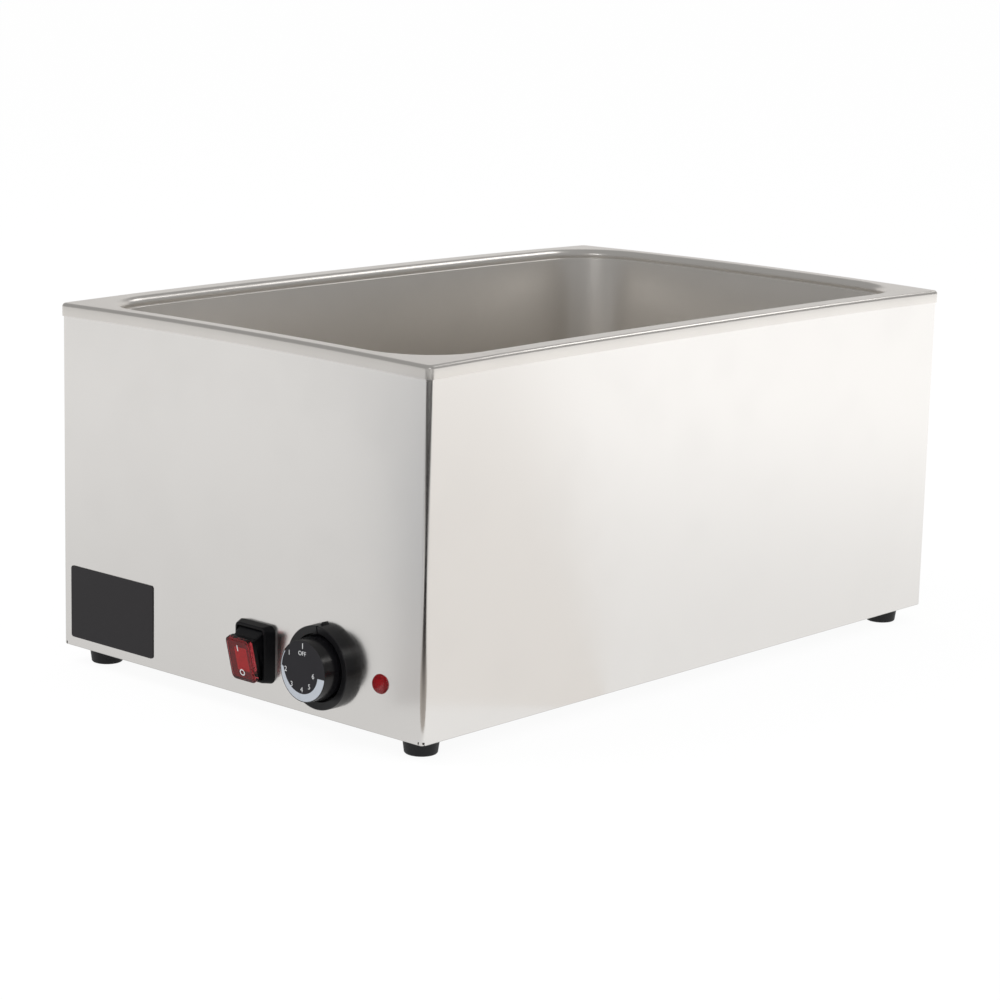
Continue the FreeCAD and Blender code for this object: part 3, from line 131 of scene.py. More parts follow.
# %% A finish and the nodes that it is made of
class Finish:
    """A material built round one Principled shader."""

    def __init__(self, name, **constants):
        self.material = bpy.data.materials.new(name)
        self.material.use_nodes = True
        self.tree = self.material.node_tree
        self.shader = self.tree.nodes["Principled BSDF"]
        self.set(**constants)
        place = self.node("TexCoord", output="Object")
        self.points = self.node("VectorMath", [(0, place), (1, (1 / MM,) * 3)], operation="MULTIPLY")

    def feed(self, socket, value):
        """Link a wire to a socket, or set the socket's own value."""
        if isinstance(value, Wire):
            self.tree.links.new(value.socket, socket)
        elif hasattr(value, "__len__") and len(value) == 3 and len(socket.default_value) == 4:
            socket.default_value = (*value, 1)
        else:
            socket.default_value = value

    def set(self, **values):
        """Feed sockets of the shader by name."""
        for name, value in values.items():
            self.feed(self.shader.inputs[name.replace("_", " ").title().replace("Ior", "IOR")], value)

    def node(self, kind, values=(), output=0, stops=(), **settings):
        """Add a node, set it up, feed its sockets and return one output."""
        made = self.tree.nodes.new("ShaderNode" + kind)
        for name, setting in settings.items():
            setattr(made, name, setting)
        for index, (place, color) in enumerate(stops):
            stop = made.color_ramp.elements[index] if index < 2 else made.color_ramp.elements.new(place)
            stop.position = place
            stop.color = (*color, 1)
        for key, value in values:
            self.feed(made.inputs[key], value)
        return Wire(self, made.outputs[output])

    def math(self, operation, *values):
        """Add a Math node."""
        return self.node("Math", enumerate(values), operation=operation)

    def clamp(self, value):
        """Keep a value between 0 and 1."""
        return self.node("Clamp", [(0, value)])

    def smooth(self, value, low, high):
        """Rise smoothly from 0 at low to 1 at high."""
        return self.node("MapRange", [(0, value), (1, low), (2, high)], interpolation_type="SMOOTHSTEP")

    def noise(self, size, detail=2.0, rough=0.5, stretch=(1, 1, 1)):
        """Give noise whose grains are about size millimetres, longer where stretch is over 1."""
        scaled = self.node("VectorMath", [(0, self.points), (1, [1 / (size * s) for s in stretch])],
                           operation="MULTIPLY")
        return self.node("TexNoise", [("Vector", scaled), ("Scale", 1.0), ("Detail", detail),
                                      ("Roughness", rough)])

    def mix(self, share, first, second):
        """Blend two colours."""
        return self.node("Mix", [(0, share), (6, first), (7, second)], output=2, data_type="RGBA")

    def bump(self, *layers):
        """Stack layers of (height from 0 to 1, depth in millimetres) on the normal."""
        normal = None
        for height, depth in layers:
            values = [("Height", height), ("Distance", depth * MM), ("Strength", 1.0)]
            if normal:
                values.append(("Normal", normal))
            normal = self.node("Bump", values)
        self.feed(self.shader.inputs["Normal"], normal)


def tinted(color, factor):
    """Scale a colour."""
    return tuple(channel * factor for channel in color)


print("finishes are written with", Finish.__name__)

# %% [markdown]
# ## Stainless steel
# The casing is cold-rolled stainless sheet. It mirrors softly, because the rolling leaves a very fine
# haze, and it is never quite flat, so reflections drift. A low, broad bump bends the mirror, a fine grain
# blurs it, and faint hand marks change the blur. Along the casing's lower edge a dark band is painted
# shade, where the hem sits in shadow.

# %% Steel finishes
CASING_FOOT = 11.8
# height of the band of painted shade above the casing's foot
HEM_SHADE_BAND = 1.3


def steel(name, color, blur, wave_depth, wave_size, grain=(1, 1, 1), foot=None):
    """Make a sheet-steel finish, with painted shade along its lower edge if it has a foot there."""
    finish = Finish(name, metallic=1.0)
    broad = finish.noise(wave_size, 1.0, 0.4)
    haze = finish.noise(0.35, 2.0, 0.6, grain)
    worn = finish.smooth(finish.noise(60, 3.0, 0.55), 0.40, 0.74)
    tone = finish.mix(worn, color, tinted(color, 0.985))
    if foot:
        height = finish.node("SeparateXYZ", [(0, finish.points)], output="Z")
        # painted shade: the steel turns dark just above the foot, where the hem is in shadow
        tone = finish.mix(finish.smooth(height, foot, foot + HEM_SHADE_BAND), tinted(color, 0.35), tone)
    finish.set(base_color=tone, roughness=worn * 0.02 + haze * 0.03 + blur)
    finish.bump((broad, wave_depth), (haze, 0.0004))


steel("casing_steel", (0.82, 0.80, 0.775), 0.16, 0.22, 160, (1, 1, 6), CASING_FOOT)
steel("tank_steel", (0.81, 0.78, 0.74), 0.27, 0.2, 110)
print("steel finishes:", [material.name for material in bpy.data.materials])

# %% [markdown]
# ## Zinc plate and aluminium
# Screws, nuts and the parts below the well are seen only from below or with the casing off, but each
# metal still has its own look. Zinc is mottled in small grains, and the clamp plate is mill aluminium,
# whose rolling lines run along it. Cells of one shade give the first, and long thin noise the second.

# %% Zinc and aluminium
def zinc():
    """Make bright zinc plate with a faint spangle."""
    finish = Finish("zinc_steel", metallic=1.0)
    spangle = finish.node("TexVoronoi", [("Vector", finish.points), ("Scale", 0.35)], output="Color")
    patch = finish.node("SeparateColor", [(0, spangle)])
    cloud = finish.noise(9, 3.0)
    finish.set(base_color=finish.mix(patch, (0.60, 0.61, 0.61), (0.68, 0.69, 0.68)),
               roughness=patch * 0.10 + cloud * 0.12 + 0.26)
    finish.bump((cloud, 0.02), (finish.noise(0.4), 0.004))


def mill_aluminium():
    """Make aluminium sheet with rolling lines along its length."""
    finish = Finish("heater_aluminium", metallic=1.0)
    lines = finish.noise(0.5, 3.0, 0.6, (1, 60, 1))
    cloud = finish.smooth(finish.noise(30, 3.0), 0.45, 0.7)
    finish.set(base_color=finish.mix(cloud, (0.80, 0.81, 0.82), (0.68, 0.69, 0.71)),
               roughness=lines * 0.16 + cloud * 0.1 + 0.22)
    finish.bump((lines, 0.008))


zinc()
mill_aluminium()
print("finishes so far:", len(bpy.data.materials))

# %% [markdown]
# ## Heated steel, copper and brass
# The element's tube is straw, brown and blue from heat, with soot. The capillary is drawn copper with
# darker patches, and the blades are stamped brass under a thin wash of tin, with drag lines from the
# press.

# %% Heated steel, copper and brass
def heated():
    """Make a steel tube that heat has turned straw, brown and blue."""
    finish = Finish("element_steel", metallic=1.0)
    heat = finish.noise(26, 3.0, 0.55)
    color = finish.node("ValToRGB", [(0, heat)], stops=[
        (0.30, (0.36, 0.35, 0.33)), (0.46, (0.47, 0.38, 0.25)), (0.58, (0.33, 0.22, 0.15)),
        (0.70, (0.22, 0.23, 0.29)), (0.82, (0.40, 0.39, 0.37))])
    soot = finish.smooth(finish.noise(7, 4.0, 0.6), 0.5, 0.75)
    finish.set(base_color=finish.mix(soot, color, (0.14, 0.12, 0.11)), roughness=soot * 0.3 + 0.3)
    finish.bump((finish.noise(0.5), 0.01))


def copper():
    """Make drawn copper with patches of tarnish."""
    finish = Finish("copper_tube", metallic=1.0)
    tarnish = finish.smooth(finish.noise(14, 4.0, 0.6), 0.45, 0.68)
    finish.set(base_color=finish.mix(tarnish, (0.83, 0.48, 0.31), (0.42, 0.22, 0.13)),
               roughness=tarnish * 0.28 + 0.2)
    finish.bump((finish.noise(0.3), 0.004))


def brass():
    """Make stamped brass with drag lines and a duller tin wash."""
    finish = Finish("blade_brass", metallic=1.0)
    wash = finish.smooth(finish.noise(3.5, 3.0), 0.4, 0.65)
    drag = finish.noise(0.2, 2.0, 0.5, (1, 12, 1))
    finish.set(base_color=finish.mix(wash, (0.80, 0.64, 0.34), (0.72, 0.66, 0.50)),
               roughness=drag * 0.15 + 0.22)
    finish.bump((drag, 0.006))


heated()
copper()
brass()
print("finishes so far:", len(bpy.data.materials))

# %% [markdown]
# ## Plastics, rubber, ceramic and ink
# Moulded black parts differ by their surface: the knob's wall is polished, its face and the bezel carry a
# fine spark-eroded grain, the feet and the boot are rubber with a dusty bloom. One recipe takes the
# colour, the colour where dust lies, the blur, the grain's size and depth, and how strongly the surface
# mirrors.

# %% Moulded finishes
MOULDED = {
    "black_rubber": ((0.013, 0.013, 0.014), (0.022, 0.022, 0.022), 0.50, 0.5, 0.02, 0.3),
    "black_plastic": ((0.007, 0.007, 0.008), (0.012, 0.012, 0.013), 0.34, 0.35, 0.006, 0.3),
    "dark_plastic": ((0.010, 0.010, 0.011), (0.015, 0.014, 0.016), 0.30, 0.3, 0.006, 0.34),
    "gloss_black": ((0.005, 0.005, 0.006), (0.008, 0.008, 0.009), 0.20, 0.5, 0.001, 0.5),
    "black_film": ((0.015, 0.013, 0.015), (0.018, 0.016, 0.018), 0.36, 0.25, 0.003, 0.3),
    "ceramic": ((0.80, 0.78, 0.71), (0.70, 0.66, 0.57), 0.30, 0.9, 0.01, 0.4),
    "frame_black": ((0.004, 0.004, 0.005), (0.007, 0.007, 0.008), 0.30, 0.35, 0.004, 0.16),
    "boot_rubber": ((0.004, 0.004, 0.005), (0.009, 0.009, 0.009), 0.32, 0.4, 0.006, 0.2),
    "dial_face": ((0.014, 0.013, 0.017), (0.018, 0.017, 0.021), 0.50, 0.22, 0.004, 0.3),
    "dial_ink": ((0.80, 0.81, 0.82), (0.70, 0.71, 0.73), 0.45, 0.3, 0.003, 0.5),
    "scale_ink": ((0.56, 0.60, 0.66), (0.60, 0.63, 0.68), 0.40, 0.3, 0.003, 0.5),
    "glow_plate": ((0.93, 0.84, 0.82), (0.88, 0.78, 0.76), 0.5, 0.6, 0.01, 0.5),
    "glow_band": ((0.26, 0.18, 0.19), (0.20, 0.14, 0.15), 0.5, 0.6, 0.01, 0.5),
}


def moulded(name, color, dusty, blur, grain_size, grain_depth, level):
    """Make a moulded finish whose grain and dust change its colour and blur."""
    finish = Finish(name, specular_ior_level=level)
    grain = finish.noise(grain_size, 2.0, 0.55)
    dust = finish.smooth(finish.noise(11, 5.0, 0.66), 0.48, 0.74)
    finish.set(base_color=finish.mix(dust * 0.6, color, dusty),
               roughness=grain * 0.10 + dust * 0.06 + blur - 0.05)
    finish.bump((grain, grain_depth), (finish.noise(16, 1.0), 0.02))


for name, looks in MOULDED.items():
    moulded(name, *looks)
print(len(MOULDED), "moulded finishes")

# %% [markdown]
# ## Clear red plastic
# The switch's face and the pilot lamp are clear red plastic. Light goes in, meets what lies behind and
# comes back red, so the shader lets it through and the pieces behind do the rest.

# %% Red plastics
def clear_red(name, color, haze, clear, ribs):
    """Make tinted plastic, clear or cloudy, with fine flow lines and slanting ribs."""
    finish = Finish(name, ior=1.36, transmission_weight=clear)
    flow = finish.noise(2.4, 2.0, 0.5)
    finish.set(base_color=finish.mix(flow, color, tinted(color, 0.86)), roughness=flow * 0.05 + haze)
    slant = finish.node("VectorMath", [(0, finish.points), (1, (5.2, 0, 5.2))], output="Value",
                        operation="DOT_PRODUCT")
    finish.bump((flow, 0.01), (finish.math("SINE", slant) * 0.5 + 0.5, ribs))


clear_red("red_lens", (0.80, 0.09, 0.11), 0.04, 1.0, 0.0)
clear_red("lamp_red", (0.78, 0.010, 0.020), 0.03, 0.65, 0.35)
print("finishes so far:", len(bpy.data.materials))

# %% [markdown]
# ## Mineral wool
# The wool is a mat of fine fibres, tan with darker wisps. Long thin noise in two directions gives fibres.

# %% Wool finish
def wool():
    """Make a fibrous mat finish."""
    finish = Finish("mineral_wool", specular_ior_level=0.2)
    upright = finish.noise(0.8, 4.0, 0.7, (1, 1, 9))
    around = finish.noise(0.9, 4.0, 0.7, (8, 8, 1))
    clump = finish.noise(12, 3.0, 0.6)
    fibre = upright * 0.5 + around * 0.5
    shade = finish.smooth(fibre * 0.6 + clump * 0.4, 0.36, 0.62)
    finish.set(base_color=finish.mix(shade, (0.36, 0.30, 0.18), (0.78, 0.71, 0.52)), roughness=0.95)
    finish.bump((clump, 0.8), (fibre, 0.35))


wool()
print("finishes in all:", len(bpy.data.materials))

# %% [markdown]
# ## Dressing the solids
# Each solid keeps its shape and takes the finish of its slot in the record. Two take a finer one: the
# dial's face, which is duller than the knob's wall, and the frame of the switch, which is the blackest
# part.

# %% Finishes on the solids
for row in frame["record"]["subparts"]:
    solid = nodes[row["node"]]
    solid.data.materials.clear()
    solid.data.materials.append(bpy.data.materials[row["material_slot"]])
nodes["knob_dial"].data.materials[0] = bpy.data.materials["dial_face"]
nodes["switch_frame"].data.materials[0] = bpy.data.materials["frame_black"]

# %% [markdown]
# ## Starting a piece and choosing its parts
# Every new piece starts as a primitive in edit mode. Faces and edges are chosen by where they are, then
# extruded, inset and bevelled, as one would by hand. One helper adds the primitive and one chooses.

# %% Starting and choosing
def begin(name, kind, **how):
    """Add a primitive with nothing else selected, and open it for editing."""
    bpy.ops.object.select_all(action="DESELECT")
    getattr(bpy.ops.mesh, f"primitive_{kind}_add")(**how)
    piece = bpy.context.object
    piece.name = piece.data.name = name
    bpy.ops.object.transform_apply(location=True, rotation=True, scale=True)
    bpy.ops.object.mode_set(mode="EDIT")
    return piece


def choose(kind, test=lambda item: True):
    """Select the vertices, edges or faces that pass a test, and count them."""
    bpy.ops.mesh.select_mode(type=kind)
    bpy.ops.mesh.select_all(action="DESELECT")
    mesh = bmesh.from_edit_mesh(bpy.context.object.data)
    mesh.normal_update()
    items = {"VERT": mesh.verts, "EDGE": mesh.edges, "FACE": mesh.faces}[kind]
    chosen = [item for item in items if test(item)]
    for item in chosen:
        item.select_set(True)
    bmesh.update_edit_mesh(bpy.context.object.data)
    return len(chosen)


print("pieces can be started and their parts chosen")

# %% [markdown]
# ## Rounded outlines
# Sheet metal and switch parts share one outline: a rectangle with rounded corners, given as its width,
# its length and the radius of its corners. One helper draws it as a flat face, and the tests find its
# edges again after the face has been pushed up or down.

# %% Rounded outlines
def corners_of(item):
    """Give the places of an edge's or face's vertices in millimetres."""
    return [vertex.co / MM for vertex in getattr(item, "verts", [item])]


def at_level(z, item, near=0.02):
    """Say whether an item lies flat at a height."""
    return all(abs(corner.z - z) < near for corner in corners_of(item))


def on_outline(outline, z, item, near=0.3):
    """Say whether an item lies along a rounded outline at a height."""
    width, length, radius = outline
    for corner in corners_of(item):
        across = max(abs(corner.x) - width / 2 + radius, 0)
        along = max(abs(corner.y) - length / 2 + radius, 0)
        if abs(corner.z - z) > near or abs(math.hypot(across, along) - radius) > near:
            return False
    return True


def rounded_outline(name, outline, z, steps=10, cuts=8):
    """Start a flat face with rounded corners, its straight sides cut for later bending."""
    width, length, radius = outline
    piece = begin(name, "plane", size=1, location=(0, 0, z * MM))
    choose("VERT")
    bpy.ops.transform.resize(value=(width * MM, length * MM, 1))
    bpy.ops.mesh.bevel(offset=radius * MM, segments=steps, profile=0.5, affect="VERTICES")
    longest = (min(width, length) - 2 * radius) * MM * 0.9
    choose("EDGE", lambda item: item.calc_length() > longest)
    bpy.ops.mesh.subdivide(number_cuts=cuts)
    return piece


print("outlines are ready")

# %% [markdown]
# ## Shaping and finishing
# A few operators come back on every piece, so they get short names that take millimetres. The last helper
# smooths a piece, gives it its finish and its slot, and seats it on the body that it moves with.

# %% Shaping and finishing
def grow(z):
    """Extrude what is selected upwards by millimetres."""
    bpy.ops.mesh.extrude_region_move(TRANSFORM_OT_translate={"value": (0, 0, z * MM)})


def draw_in(before, after):
    """Inset the selected face from one outline to a narrower one."""
    bpy.ops.mesh.inset(thickness=(before[0] - after[0]) / 2 * MM)


def bevel(width, steps):
    """Round the selected edges."""
    bpy.ops.mesh.bevel(offset=width * MM, offset_type="OFFSET", segments=steps, profile=0.5, affect="EDGES",
                       clamp_overlap=False)


def outward():
    """Merge doubles and turn all the faces outwards."""
    bpy.ops.mesh.select_mode(type="VERT")
    bpy.ops.mesh.select_all(action="SELECT")
    bpy.ops.mesh.remove_doubles(threshold=1e-6)
    bpy.ops.mesh.normals_make_consistent(inside=False)


def finish_piece(piece, finish, body="root", angle=35, replaces=()):
    """Leave edit mode, smooth the piece, give it its finish and seat it on its body."""
    if bpy.context.mode != "OBJECT":
        bpy.ops.object.mode_set(mode="OBJECT")
    bpy.ops.object.select_all(action="DESELECT")
    piece.select_set(True)
    bpy.context.view_layer.objects.active = piece
    bpy.ops.object.transform_apply(location=True, rotation=True, scale=True)
    bpy.ops.object.shade_smooth_by_angle(angle=math.radians(angle))
    piece.data.materials.clear()
    piece.data.materials.append(bpy.data.materials[finish])
    if replaces:
        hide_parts(*replaces)
    if body:
        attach(piece, body)
    print(piece.name, "has", len(piece.data.polygons), "faces")


print("shaping tools are ready")

# %% [markdown]
# ## The tank
# The well, its flange and the folded skirt are one drawn sheet. Drawing leaves a rolled lip, a small
# shoulder below it where a pan's foot sits, and a wide radius round the floor. The sheet is modelled as
# one surface, first the well: an outline is pushed down in steps, and the edges between the steps are
# rounded.

# %% The well as stepped outlines
RIM_TOP = 248.4
SHOULDER = 242.0
WELL_FLOOR = 83.0
FLAT = (320, 524, 53)
LIP = (306, 510, 46)
WALL = (302, 506, 44)
LIP_ROLL = 4.5
SHOULDER_EDGE = 0.6
FLOOR_RADIUS = 30
FLOOR_MARGIN = 12
tank = rounded_outline("tank_shell", FLAT, RIM_TOP)
choose("FACE")
draw_in(FLAT, LIP)
grow(SHOULDER - RIM_TOP)
draw_in(LIP, WALL)
grow(WELL_FLOOR - SHOULDER)
choose("EDGE", lambda item: on_outline(LIP, RIM_TOP, item))
bevel(LIP_ROLL, 7)
choose("EDGE", lambda item: on_outline(WALL, SHOULDER, item))
bevel(SHOULDER_EDGE, 3)
choose("EDGE", lambda item: at_level(WELL_FLOOR, item))
bevel(FLOOR_RADIUS, 10)
choose("FACE", lambda item: at_level(WELL_FLOOR, item) and len(item.verts) > 8)
bpy.ops.mesh.inset(thickness=FLOOR_MARGIN * MM)
bpy.ops.object.mode_set(mode="OBJECT")
print("well of", len(tank.data.polygons), "faces")

# %% [markdown]
# Round the well the same sheet lies flat and is folded down as a skirt. The well's outer edge is pulled
# out to a point just short of the fold and then to the rim, so the flange has room for the small corners
# that the skirt needs, and pushed down. The fold is rounded last.

# %% The flange and its skirt
SKIRT_FOOT = 239.8
NEAR_FOLD = (335, 533, 1.9)
RIM = (340, 538, 4.4)
FOLD_RADIUS = 2.3


def reshape(piece, before, after):
    """Move the selected vertices from one rounded outline to another."""
    mesh = bmesh.from_edit_mesh(piece.data)
    for vertex in mesh.verts:
        if vertex.select:
            for axis in (0, 1):
                straight = before[axis] / 2 - before[2]
                place = vertex.co[axis] / MM
                flat = max(-straight, min(straight, place))
                longer = (after[axis] / 2 - after[2]) / straight
                vertex.co[axis] = (flat * longer + (place - flat) * after[2] / before[2]) * MM
    bmesh.update_edit_mesh(piece.data)


bpy.ops.object.mode_set(mode="EDIT")
choose("EDGE", lambda item: item.is_boundary)
outline = FLAT
for wider in (NEAR_FOLD, RIM):
    bpy.ops.mesh.extrude_edges_move()
    reshape(tank, outline, wider)
    outline = wider
bpy.ops.mesh.extrude_edges_move(TRANSFORM_OT_translate={"value": (0, 0, (SKIRT_FOOT - RIM_TOP) * MM)})
outward()
print("folding", choose("EDGE", lambda item: on_outline(RIM, RIM_TOP, item)), "edges")
bevel(FOLD_RADIUS, 5)
bpy.ops.object.mode_set(mode="OBJECT")

# %% [markdown]
# The rim isn't flat. Welding and grinding the corners leaves them lower than the middle of each edge,
# which the photograph shows as a slight arch. Every point is let down by its place along both edges, and
# less and less down the wall. The open surface then gets the thickness of the sheet.

# %% The crown of the rim and the thickness of the sheet
CROWN = 2.0
STIFF = 150
FADE = 85
SHEET = 0.8
for vertex in tank.data.vertices:
    x, y, z = vertex.co / MM
    share = max(0, min(1, (z - STIFF) / FADE))
    vertex.co.z -= CROWN * MM * share * (2 * x / RIM[0]) ** 2 * abs(2 * y / RIM[1]) ** 3
if sum(face.normal.z * face.area for face in tank.data.polygons) < 0:
    tank.data.flip_normals()
sheet = tank.modifiers.new("sheet", "SOLIDIFY")
sheet.thickness = SHEET * MM
sheet.offset = -1
bpy.ops.object.modifier_apply(modifier="sheet")
finish_piece(tank, "tank_steel", replaces=["tank"])

# %% [markdown]
# The casing's folded top lies under the flange. It is a solid with a flat top, so where the rim drops it
# would come through the sheet. A modifier on its upper points lets it down, and leaves the solid itself
# alone.

# %% Top of the casing
FOLDED_TOP = 245.0
LET_DOWN = 1.6
casing = nodes["casing_wrap"]
folded = casing.vertex_groups.new(name="folded_top")
folded.add([vertex.index for vertex in casing.data.vertices
            if (casing.matrix_world @ vertex.co).z > FOLDED_TOP * MM], 1.0, "REPLACE")
settle = casing.modifiers.new("settle", "DISPLACE")
settle.vertex_group = folded.name
settle.space = "GLOBAL"
settle.direction = "Z"
settle.mid_level = 0
settle.strength = -LET_DOWN * MM
print("casing top let down", LET_DOWN, "mm")

# %% [markdown]
# ## Turning a piece to face the front
# The parts on the front panel are easier to model lying face up. A helper turns such a piece upright,
# leans it if it sits on the tilted rocker, and carries it to its place on the panel.

# %% Places on the front panel
FRONT = -268.0
SWITCH = (22.1, 44.0)
KNOB = (83.7, 46.2)
LAMP = (132.7, 44.6)


def to_front(piece, place, out=0.0, lean=0.0):
    """Turn a piece that was modelled lying face up so that it faces out of the front panel."""
    bpy.ops.object.mode_set(mode="OBJECT")
    piece.rotation_euler = Euler((math.radians(90 + lean), 0, 0))
    piece.location = (place[0] * MM, (FRONT - out) * MM, place[1] * MM)
    bpy.context.view_layer.update()
    bpy.ops.object.select_all(action="DESELECT")
    piece.select_set(True)
    bpy.context.view_layer.objects.active = piece
    bpy.ops.object.transform_apply(location=True, rotation=True, scale=True)


print("switch, knob and lamp at", SWITCH, KNOB, LAMP)

# %% [markdown]
# ## The rubber boot of the switch
# A boot keeps steam out of the rocker: its foot is clamped inside the frame and its lip grips the rocker
# below the red face, so it folds as the rocker tips. One outline is pushed up ring by ring, each ring
# given as width, length and height, and the upper rings are turned with the rocker about its pivot.

# %% Boot
PIVOT = -0.7
TILT = 13.6
TURNED_ABOVE = 5.5
BOOT_RINGS = [(23.8, 32.6, 4.6), (23.6, 32.4, 5.1), (23.2, 32.1, 5.1), (22.9, 31.9, 4.5),
              (20.9, 27.9, 6.5 + PIVOT), (20.7, 27.3, 8.2 + PIVOT), (21.6, 28.0, 8.9 + PIVOT),
              (21.8, 28.3, 9.7 + PIVOT), (21.4, 28.1, 10.7 + PIVOT), (21.6, 28.8, 11.4 + PIVOT),
              (21.6, 28.8, 12.3 + PIVOT)]
wide, long, level = 23.8, 32.6, 1.4
boot = rounded_outline("switch_gaiter", (wide, long, 1.4), level, 5, 6)
choose("FACE")
for ring_wide, ring_long, ring_level in BOOT_RINGS:
    grow(ring_level - level)
    bpy.ops.transform.resize(value=(ring_wide / wide, ring_long / long, 1))
    wide, long, level = ring_wide, ring_long, ring_level
choose("FACE", lambda item: len(item.verts) > 8)
bpy.ops.mesh.delete(type="ONLY_FACE")
turned = choose("VERT", lambda item: item.co.z > TURNED_ABOVE * MM)
bpy.ops.transform.rotate(value=-math.radians(TILT), orient_axis="X", center_override=(0, 0, PIVOT * MM))
print(turned, "points of the boot turn with the rocker")

# %% [markdown]
# The rings are only a surface, so it gets the thickness of a rubber skin.

# %% Skin of the boot
RUBBER = 0.5
bpy.ops.object.mode_set(mode="OBJECT")
skin = boot.modifiers.new("skin", "SOLIDIFY")
skin.thickness = RUBBER * MM
skin.offset = -1
bpy.ops.object.modifier_apply(modifier="skin")
to_front(boot, SWITCH)
finish_piece(boot, "boot_rubber", body=None, replaces=["switch_boot"])
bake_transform(boot)

# %% [markdown]
# ## The red face of the rocker
# The face is one moulding of clear red plastic, a block with a raised panel, snapped on to the carrier of
# the rocker. Its rounded outline is pushed up, inset and pushed up again, and both edges are bevelled.

# %% Red face
FACE_FOOT = 12.35
FACE_TOP = 15.5
RAISED = 0.5
FACE = (22, 29.8, 3.5)
PANEL = (19.2, 27, 2.1)
PANEL_MARGIN = 0.8
FACE_EDGE = 0.4
PANEL_EDGE = 0.25
face = rounded_outline("rocker_face", FACE, FACE_FOOT, 6, 2)
choose("FACE")
grow(FACE_TOP - RAISED - FACE_FOOT)
draw_in(FACE, PANEL)
grow(RAISED)
bpy.ops.mesh.inset(thickness=PANEL_MARGIN * MM)
choose("EDGE", lambda item: on_outline(FACE, FACE_TOP - RAISED, item, 0.05))
bevel(FACE_EDGE, 3)
choose("EDGE", lambda item: on_outline(PANEL, FACE_TOP, item, 0.05))
bevel(PANEL_EDGE, 3)
outward()
to_front(face, SWITCH, PIVOT, TILT)
finish_piece(face, "red_lens", "rocker", replaces=["rocker_lens"])

# %% [markdown]
# Behind the clear face lies a pale plate, seen bright red through it, and round that a duller band. Both
# are thin blocks that stand on the rocker's carrier.

# %% Plates under the face
PLATE_FOOT = 11.02
for name, outline, level in [("glow_band", (20.4, 27.4, 1.2), 12.2),
                             ("glow_plate", (11.0, 16.5, 1.2), 12.28)]:
    plate = rounded_outline(name, outline, PLATE_FOOT, 4, 2)
    choose("FACE")
    grow(level - PLATE_FOOT)
    outward()
    to_front(plate, SWITCH, PIVOT, TILT)
    finish_piece(plate, name, "rocker")

# %% [markdown]
# The face carries a bar for on and a ring for off. Printed ink has a little height, so each mark is a
# flat outline with that thickness, and not a picture on the plastic.

# %% Marks on and off
INK = 0.03
RING_STROKE = 0.8


def shift(x, y):
    """Move a whole piece in its own plane."""
    choose("VERT")
    bpy.ops.transform.translate(value=(x * MM, y * MM, 0))


bar = rounded_outline("mark_on", (0.8, 4.1, 0.15), FACE_TOP, 3, 1)
shift(-0.3, 8.4)
choose("FACE")
grow(INK)
outward()
to_front(bar, SWITCH, PIVOT, TILT)
finish_piece(bar, "dial_ink", "rocker")
loop = begin("mark_off", "circle", vertices=32, radius=2.3 * MM, fill_type="NGON",
             location=(0.2 * MM, -8.5 * MM, FACE_TOP * MM))
choose("FACE")
bpy.ops.mesh.inset(thickness=RING_STROKE * MM)
bpy.ops.mesh.delete(type="FACE")
choose("FACE")
grow(INK)
outward()
to_front(loop, SWITCH, PIVOT, TILT)
finish_piece(loop, "dial_ink", "rocker")

# %% [markdown]
# ## Print on the dial
# The dial is printed with a stroke at the top, the word OFF and six numbers, which stay upright. The word
# and the numbers are set as type at their places across and up from the dial's middle, turned into a mesh
# with a little thickness, and laid on the dial. Type is larger than its figures, so its size is scaled
# from their height. The stroke is a thin outline, like the marks on the rocker.

# %% Print
DIAL = 18.9
TYPE_TO_HEIGHT = 1.42
THINNER = -0.003
PRINT = [("OFF", -0.6, 11.2, 2.8), ("1", -12.1, 9.8, 3.3), ("2", -15.1, -1.2, 3.3), ("3", -9.7, -9.9, 3.3),
         ("4", -0.7, -11.9, 3.3), ("5", 5.9, -8.9, 3.3), ("6", 9.2, -1.6, 3.3)]
for word, across, up, height in PRINT:
    bpy.ops.object.select_all(action="DESELECT")
    bpy.ops.object.text_add()
    text = bpy.context.object
    text.name = "dial_" + word
    text.data.body = word
    text.data.align_x = "CENTER"
    text.data.align_y = "CENTER"
    text.data.size = height * TYPE_TO_HEIGHT * MM
    text.data.extrude = INK / 2 * MM
    text.data.offset = THINNER * MM
    text.data.resolution_u = 4
    bpy.ops.object.convert(target="MESH")
    text.location = (across * MM, up * MM, (DIAL + INK / 2) * MM)
    bpy.ops.object.transform_apply(location=True, rotation=True, scale=True)
    bpy.ops.object.mode_set(mode="EDIT")
    outward()
    to_front(text, KNOB)
    finish_piece(text, "dial_ink", "knob")
tick = rounded_outline("dial_tick", (0.6, 3.6, 0.1), DIAL, 2, 1)
shift(-0.3, 16.2)
choose("FACE")
grow(INK)
outward()
to_front(tick, KNOB)
finish_piece(tick, "dial_ink", "knob")

# %% [markdown]
# Round the dial runs a scale. Beside the 1 it is a fine line, then it widens as the heat rises, and it
# ends square at the 6. It starts as part of a circle. The circle's edge is extruded in place, and the new
# edge is drawn in toward the middle by an amount that grows with the angle.

